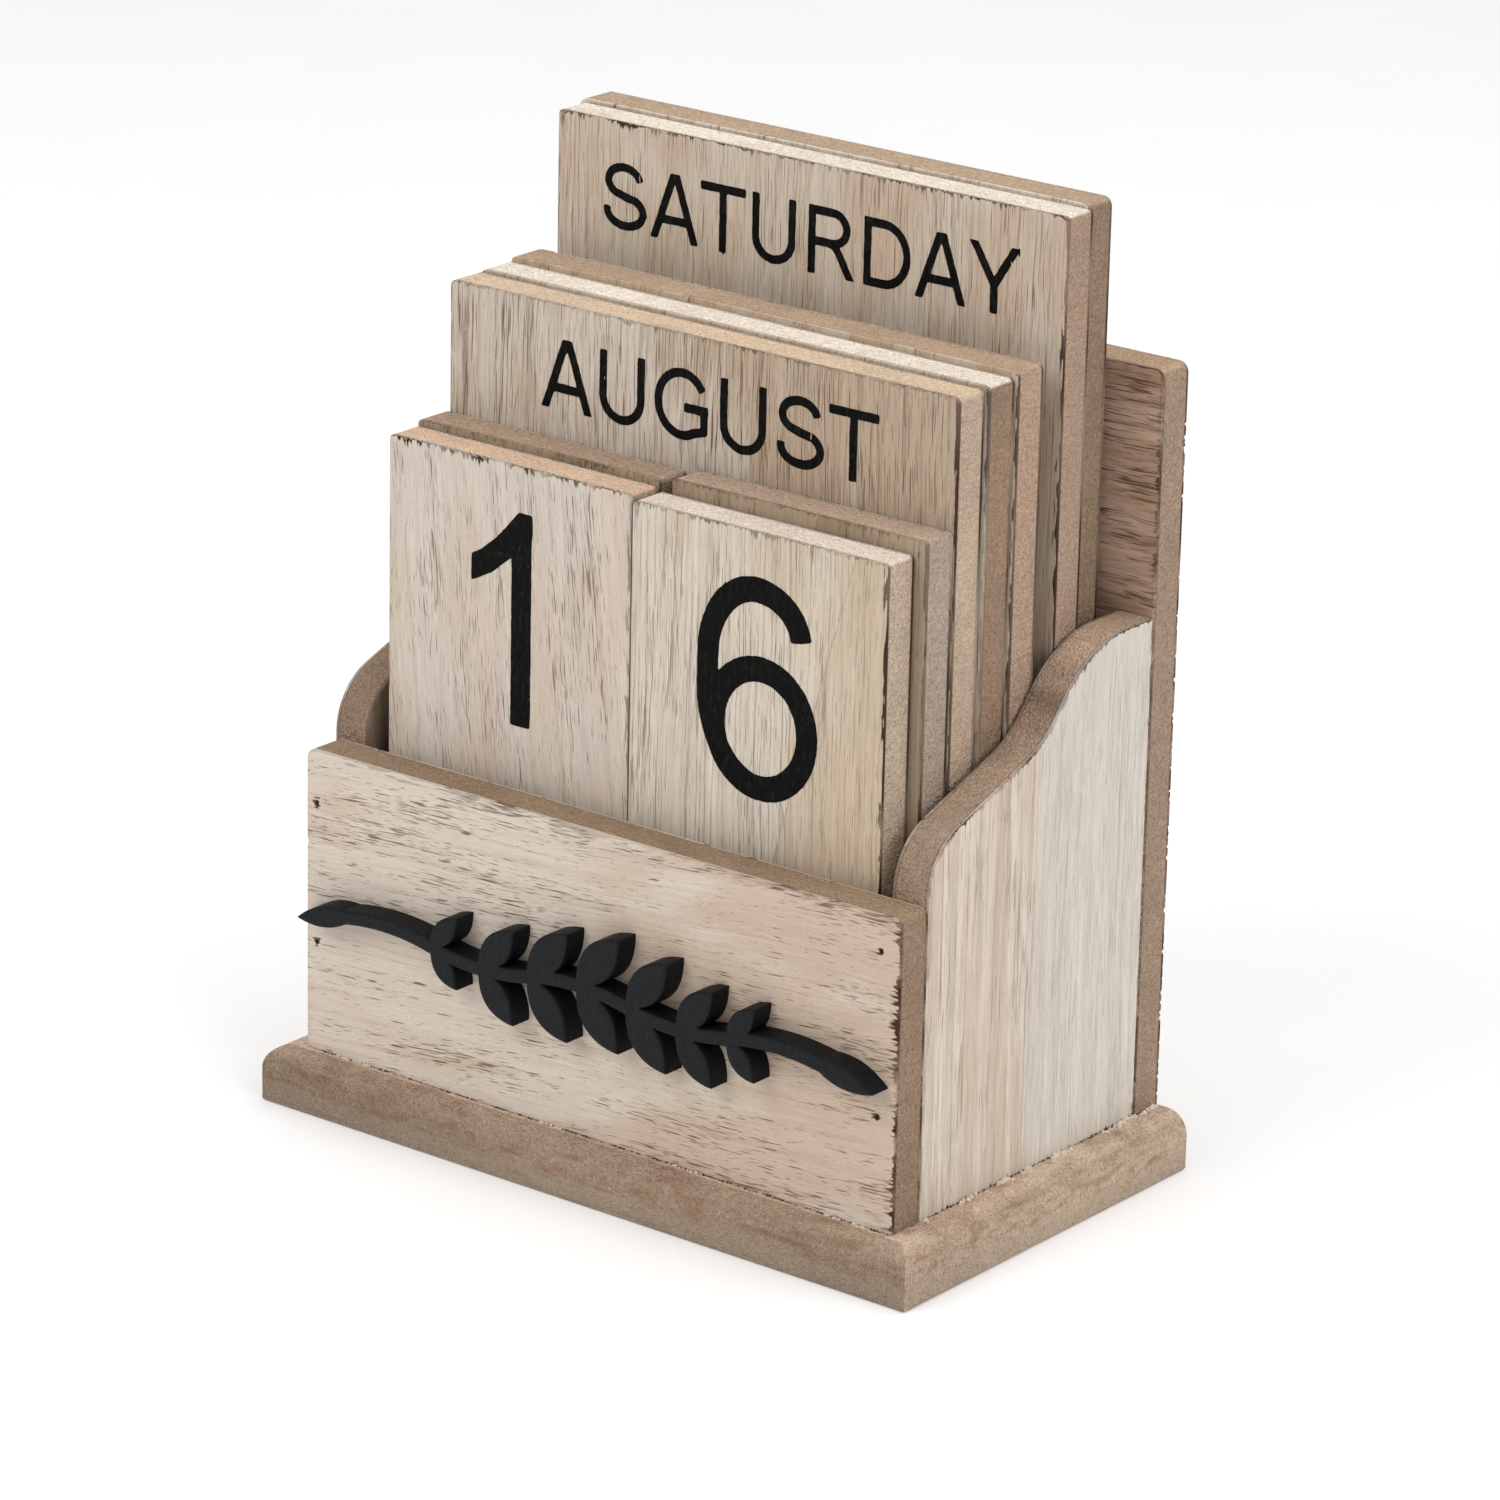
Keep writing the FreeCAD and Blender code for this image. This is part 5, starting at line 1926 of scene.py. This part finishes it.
FRONT_WOOD = Veneer(
    Grain.LEVEL, pale="d2c5b7", warm="c7b29f", line="a88b72", pore="63462f", burnt="47291b", year=2.3,
    line_depth=0.3, line_width=0.3, pore_length=4.4, pore_width=0.24, pore_depth=0.8, sway=2.6, patch=40,
    patch_width=12, fibre=0.1, streak=0.04, speck=0.09, burn_reach=0.75, lean=0.06, crowd=0.6, turn=(-30, 45))
SIDE_WOOD = Veneer(
    Grain.UPRIGHT_SIDE, pale="d3c7b9", warm="c9b8a8", line="9c8069", pore="8f755f", year=2.1,
    line_depth=0.42, line_width=0.34, pore_length=9.0, pore_width=0.2, pore_share=0.6, pore_depth=0.5,
    sway=1.4, ripple=0.2, patch=50, patch_width=2.4, fibre=0.16, streak=0.1, speck=0.08,
    joint=(0.6, 0.008), beyond="d2cbc1", cover=0.72)
BACK_WOOD = Veneer(
    Grain.LEVEL, pale="bda08b", warm="ac8e77", line="7a5a44", pore="45291b", year=2.4, line_depth=0.5,
    line_width=0.5, pore_length=6.0, pore_width=0.26, pore_share=0.85, pore_depth=0.75, sway=1.8,
    ripple=0.4, patch=20, patch_width=6, fibre=0.18, streak=0.14, burn_reach=0.4)


@dataclass
class Tray:
    """The four panels, each a board between two sheets."""

    strong: Wear = Wear(teeth=0.5, splits=0.01, depth=0.35, burn=(0.4, 1.0, 0.1, 0.08))
    rough: Wear = Wear(teeth=0.3, splits=0.01, depth=0.3, burn=(1.0, 0.7, 0.7, 0.5))
    curved: Wear = Wear(teeth=0.15, splits=0.005, depth=0.2, burn=(0.9, 0.6, 0.5, 1.0))
    # height and paleness of the bands along the curved edge: partly marks the sander left, partly painted
    # light and shade that follows how the curve faces
    bands: tuple[tuple[float, float], ...] = (
        (52, 0.25), (58, 0.34), (64, 0.3), (69, 0.45), (74, 0.6), (76.5, 0.45), (78.5, 0.1), (79.5, 0.2),
        (80.5, 0.62), (82, 0.5), (84, 0.85), (86, 1.0))

    def build(self) -> None:
        """Make every panel, layer by layer."""
        dull = replace(FRONT_WOOD, pale="c9b7a1", warm="bfa88d")
        # the left side's inner face is much darker: painted shade of the narrow space inside the tray
        left_inside_shaded = replace(SIDE_WOOD, pale="837665", warm="766755", joint=None)
        right_inside = replace(SIDE_WOOD, pale="b9aa97", warm="ab9984", joint=None)
        sheets = {"front_panel_outer": (Face.FRONT, FRONT_WOOD, self.strong),
                  "front_panel_inner": (Face.BACK, dull, self.strong),
                  "back_panel_inner": (Face.FRONT, BACK_WOOD, self.rough),
                  "back_panel_outer": (Face.BACK, FRONT_WOOD, self.strong),
                  "left_side_outer": (Face.LEFT, SIDE_WOOD, self.curved),
                  "left_side_inner": (Face.RIGHT, left_inside_shaded, self.curved),
                  "right_side_outer": (Face.RIGHT, SIDE_WOOD, self.curved),
                  "right_side_inner": (Face.LEFT, right_inside, self.curved)}
        pits = {f"{end}_panel_outer": Brads.centres(f"{end}_brads", (0, 2)) for end in ("front", "back")}
        for seed, (name, (face, finish, wear)) in enumerate(sheets.items(), start=21):
            Sheet(f"{name}_veneer", face, finish, "tray", Slot.TRAY_VENEER, seed, wear,
                  pits.get(name, [])).build()
        boards = {"front_panel": (Face.FRONT, Fibreboard(side="9e846f", top="a18971"), ()),
                  "back_panel": (Face.BACK, Fibreboard(side="a9917d", top="c7a88a"), ()),
                  "left_side": (Face.LEFT, Fibreboard(side="8a7464", top="b59a82", mottle=0.2), self.bands),
                  "right_side": (Face.RIGHT, Fibreboard(side="877364", top="cfb298", mottle=0.2), self.bands)}
        for seed, (name, (face, finish, sanding_and_light)) in enumerate(boards.items(), start=31):
            Board(f"{name}_core", face, finish, "tray", Slot.PANEL, seed, sanding_and_light).build()


# ---- tiles

TILE_WOOD = Veneer(Grain.UPRIGHT)
NAME_STROKE = 0.127
DIGIT_STROKE = 0.114
LONGEST_NAME = 82.0


def number_line(text: str) -> Lettering:
    """A large plain digit; the "1" is set a little higher and to the left."""
    height, foot, middle = (32.5, 65.5, -1.25) if text == "1" else (33.0, 64.6, 0.3)
    return Lettering(text, height, DIGIT_STROKE, foot, middle, cell=0.16, soft=0.15, nicks=1.0, spurs=1.5)


def name_line(text: str, height: float, foot: float, middle: float) -> Lettering:
    """A name, set smaller where it is long."""
    height = min(height, LONGEST_NAME / sum(GLYPHS[letter][0] for letter in text))
    return Lettering(text, height, NAME_STROKE, foot, middle, cell=0.12)


MONTH_LINE = partial(name_line, height=10.6, foot=110.1, middle=1.85)
DAY_LINE = partial(name_line, height=10.1, foot=131.1, middle=0.2)


@dataclass
class Tile:
    """One loose tile: a board between two sheets, printed on both faces at both ends."""

    name: str
    front: Veneer
    back: Veneer
    board: Fibreboard
    lines: dict[Face, list[Lettering]]
    seed: int
    wear: Wear

    def build(self) -> None:
        """Make the layers and the print."""
        Board(f"{self.name}_core", Face.FRONT, self.board, self.name, Slot.TILE, self.seed).build()
        for face, finish, step in ((Face.FRONT, self.front, 1), (Face.BACK, self.back, 2)):
            node = f"{self.name}_{face.name.lower()}_veneer"
            Sheet(node, face, finish, self.name, Slot.TILE_VENEER, self.seed + step, self.wear).build()
        Print(self.name, self.lines, self.seed + 3).build()


def tiles() -> list[Tile]:
    """List all nine tiles, from the front row to the back.

    Returns:
        The tiles, ready to build.
    """
    one = replace(TILE_WOOD, pale="ccc1b5", warm="cbbcad", line="a08873", pore="6b4c34", year=4.2,
                  line_depth=0.26, line_width=0.5, pore_share=0.58, pore_width=0.23, pore_length=5.5,
                  sway=3.5, ripple=0.35, pore_depth=0.72, fibre=0.14, streak=0.05, speck=0.1,
                  burn_reach=0.45, lean=-0.1, crowd=0.55)
    six = replace(TILE_WOOD, pale="cec4b5", warm="c8b8a3", line="785943", pore="744f36", year=1.15,
                  line_depth=0.6, line_width=0.3, pore_share=0.55, pore_length=6.0, pore_width=0.18,
                  pore_depth=0.6, sway=1.8, streak=0.1, fibre=0.14, speck=0.09, joint=(10.5, 0.28),
                  beyond="bfa88e", cover=0.45, turn=(10, 46), burn_reach=0.5)
    month = replace(TILE_WOOD, pale="c6baac", warm="b39f8a", line="79604a", pore="5c3d27", year=1.3,
                    line_depth=0.46, line_width=0.4, pore_share=0.72, pore_depth=0.78, sway=1.2,
                    pore_length=9.0, pore_width=0.22, fibre=0.15, speck=0.09, crowd=0.3, turn=(-30, 30))
    day = replace(TILE_WOOD, pale="c6b8a8", warm="bfab97", line="8b725d", pore="6b4b35", year=1.1,
                  line_depth=0.48, line_width=0.36, pore_share=0.6, pore_depth=0.72, sway=1.0,
                  pore_length=10.0, pore_width=0.21, fibre=0.14, speck=0.09, burn_reach=0.45, crowd=0.3)
    # fronts of the rear number tiles: darker wood, partly painted shade of the narrow gap behind the front
    # row
    dark_and_shaded = replace(TILE_WOOD, pale="a8957f", warm="9a8670", line="6b5340", pore="503a2a", year=1.4)
    cool = replace(TILE_WOOD, pale="c8b8a5", warm="bfa78c")
    light = replace(cool, pale="dccfbf", warm="d6c7b4")
    clean_top = Wear(burn=(0.15, 0.95, 0.7, 0.2))
    rough_top = Wear(teeth=0.8, depth=0.6, burn=(0.95, 0.5, 0.4, 0.2))
    dark_right = Wear(teeth=0.15, burn=(0.6, 1.3, 0.3, 0.2))
    toothed = Wear(teeth=0.6, burn=(0.9, 1.2, 0.3, 0.2))
    # name: line, words on the front and the back, sheets, colours of the board's sides and top (the paler top
    # partly painted light), wear
    table = {
        "number_tile_front_left": (number_line, "1 2", "0 3", one, cool, "b39c88", "e2c2a8", rough_top),
        "number_tile_front_right": (number_line, "6 7", "8 9", six, one, "c9b39e", "eddecf", dark_right),
        "number_tile_rear_left": (number_line, "0 4", "5 1", dark_and_shaded, six, "b09a86", "b99f88", Wear()),
        "number_tile_rear_right": (number_line, "2 5", "3 4", dark_and_shaded, one, "b7a393", "c7ad97", Wear()),
        "month_tile_front": (MONTH_LINE, "AUGUST APRIL", "MAY JUNE", month, day, "cab29c", "e0c6aa", Wear()),
        "month_tile_middle": (MONTH_LINE, "JANUARY JULY", "FEBRUARY OCTOBER", day, month,
                              "a08670", "f9ecdc", clean_top),
        "month_tile_rear": (MONTH_LINE, "SEPTEMBER NOVEMBER", "DECEMBER", cool, month,
                            "bc9f89", "c4a98f", clean_top),
        "day_tile_front": (DAY_LINE, "SATURDAY SUNDAY", "MONDAY FRIDAY", day, cool,
                           "b69b86", "f6e8d7", toothed),
        "day_tile_rear": (DAY_LINE, "TUESDAY WEDNESDAY", "MONDAY SUNDAY", light, day,
                          "9b846f", "c3a88f", clean_top),
    }
    made = []
    for seed, (name, (line, front_words, back_words, front, back, side, top, wear)) in zip(
            range(101, 191, 10), table.items()):
        words = {Face.FRONT: front_words, Face.BACK: back_words}
        lines = {face: [line(word) for word in pair.split()] for face, pair in words.items()}
        made.append(Tile(name, front, back, Fibreboard(side=side, top=top), lines, seed, wear))
    return made


# ---- studio

@dataclass
class Studio:
    """White floor, soft light from all round and a long lens."""

    azimuth: float = 37.7626
    elevation: float = 19.2121
    roll: float = 1.2578
    distance: float = 1001.709
    focal_pixels: float = 6838.45
    image: int = 1500
    across: float = -2.9332
    up: float = -20.4409
    aim: tuple[float, float, float] = (0.0, 9.4, 80.0)
    # name: place in metres, size and power
    lamps: dict[str, tuple] = field(default_factory=lambda: {
        "key": ((-0.55, -1.35, 1.25), 1.1, 13.0), "fill": ((1.5, -0.35, 0.9), 1.2, 10.0),
        "top": ((0.15, 0.25, 1.6), 1.4, 12.0)})
    sky: float = 0.42
    floor_half: float = 4.0       # metres
    floor_glow: float = 0.07

    def build(self) -> None:
        """Set up the floor, the light and the camera."""
        self._floor()
        for name, (place, size, power) in self.lamps.items():
            self._light(name, place, size, power)
        world = bpy.data.worlds.new("studio")
        world.use_nodes = True
        background = world.node_tree.nodes["Background"].inputs
        background["Color"].default_value = (1.0, 1.0, 1.0, 1.0)
        background["Strength"].default_value = self.sky
        bpy.context.scene.world = world
        bpy.context.scene.view_settings.view_transform = "Standard"
        self._camera()

    def _floor(self) -> None:
        """Lay a pale sheet under the calendar."""
        reach = self.floor_half
        mesh = bpy.data.meshes.new("floor")
        corners = [(-reach, -reach, 0), (reach, -reach, 0), (reach, reach, 0), (-reach, reach, 0)]
        mesh.from_pydata(corners, [], [(0, 1, 2, 3)])
        graph = Graph("floor_paper")
        tooth = graph.lumps(40.0, 0, 3)
        colour = graph.blend(graph.fade(tooth, 0.3, 0.7), (0.96, 0.96, 0.96, 1), (0.97, 0.97, 0.97, 1))
        graph.shader.inputs["Emission Color"].default_value = (1.0, 1.0, 1.0, 1.0)
        graph.shader.inputs["Emission Strength"].default_value = self.floor_glow
        mesh.materials.append(graph.finish(colour, 0.9, 0.1, tooth, 0.01))
        added("floor", mesh)

    @staticmethod
    def _light(name: str, place: tuple[float, float, float], size: float, power: float) -> None:
        """Set up a square soft box that faces the calendar.

        Args:
            name: The lamp's name.
            place: Where it stands, in metres.
            size: Length of its side.
            power: Its power in watts.
        """
        lamp = bpy.data.lights.new(name, "AREA")
        lamp.shape = "SQUARE"
        lamp.size = size
        lamp.energy = power
        aim = Vector((0, 0, 0.07)) - Vector(place)
        turn = aim.to_track_quat("-Z", "Y").to_matrix().to_4x4()
        added(name, lamp).matrix_world = Matrix.Translation(place) @ turn

    def _camera(self) -> None:
        """Set up the camera in front, to the right and above."""
        turn, rise, roll = (math.radians(a) for a in (self.azimuth, self.elevation, self.roll))
        back = Vector((math.sin(turn) * math.cos(rise), -math.cos(turn) * math.cos(rise), math.sin(rise)))
        level = Vector((math.cos(turn), math.sin(turn), 0.0))
        upright = back.cross(level)
        right = math.cos(roll) * level + math.sin(roll) * upright
        above = math.cos(roll) * upright - math.sin(roll) * level
        place = Vector(self.aim) + back * self.distance + right * self.across + above * self.up
        camera = bpy.data.cameras.new("camera")
        camera.sensor_width = 36.0
        camera.lens = 36.0 * self.focal_pixels / self.image
        camera.clip_start = 0.05
        holder = added("camera", camera)
        turned = Matrix((right, above, back)).transposed().to_4x4()
        holder.matrix_world = Matrix.Translation(place * MM) @ turned
        bpy.context.scene.camera = holder


# ---- main


def main() -> None:
    """Build the calendar piece by piece, then the studio round it."""
    logging.basicConfig(level=logging.INFO, format="%(message)s")
    Base().build()
    Tray().build()
    Sprig().build()
    Brads().build()
    Crumbs().build()
    for tile in tiles():
        tile.build()
    Studio().build()


if __name__ == "__main__":
    main()
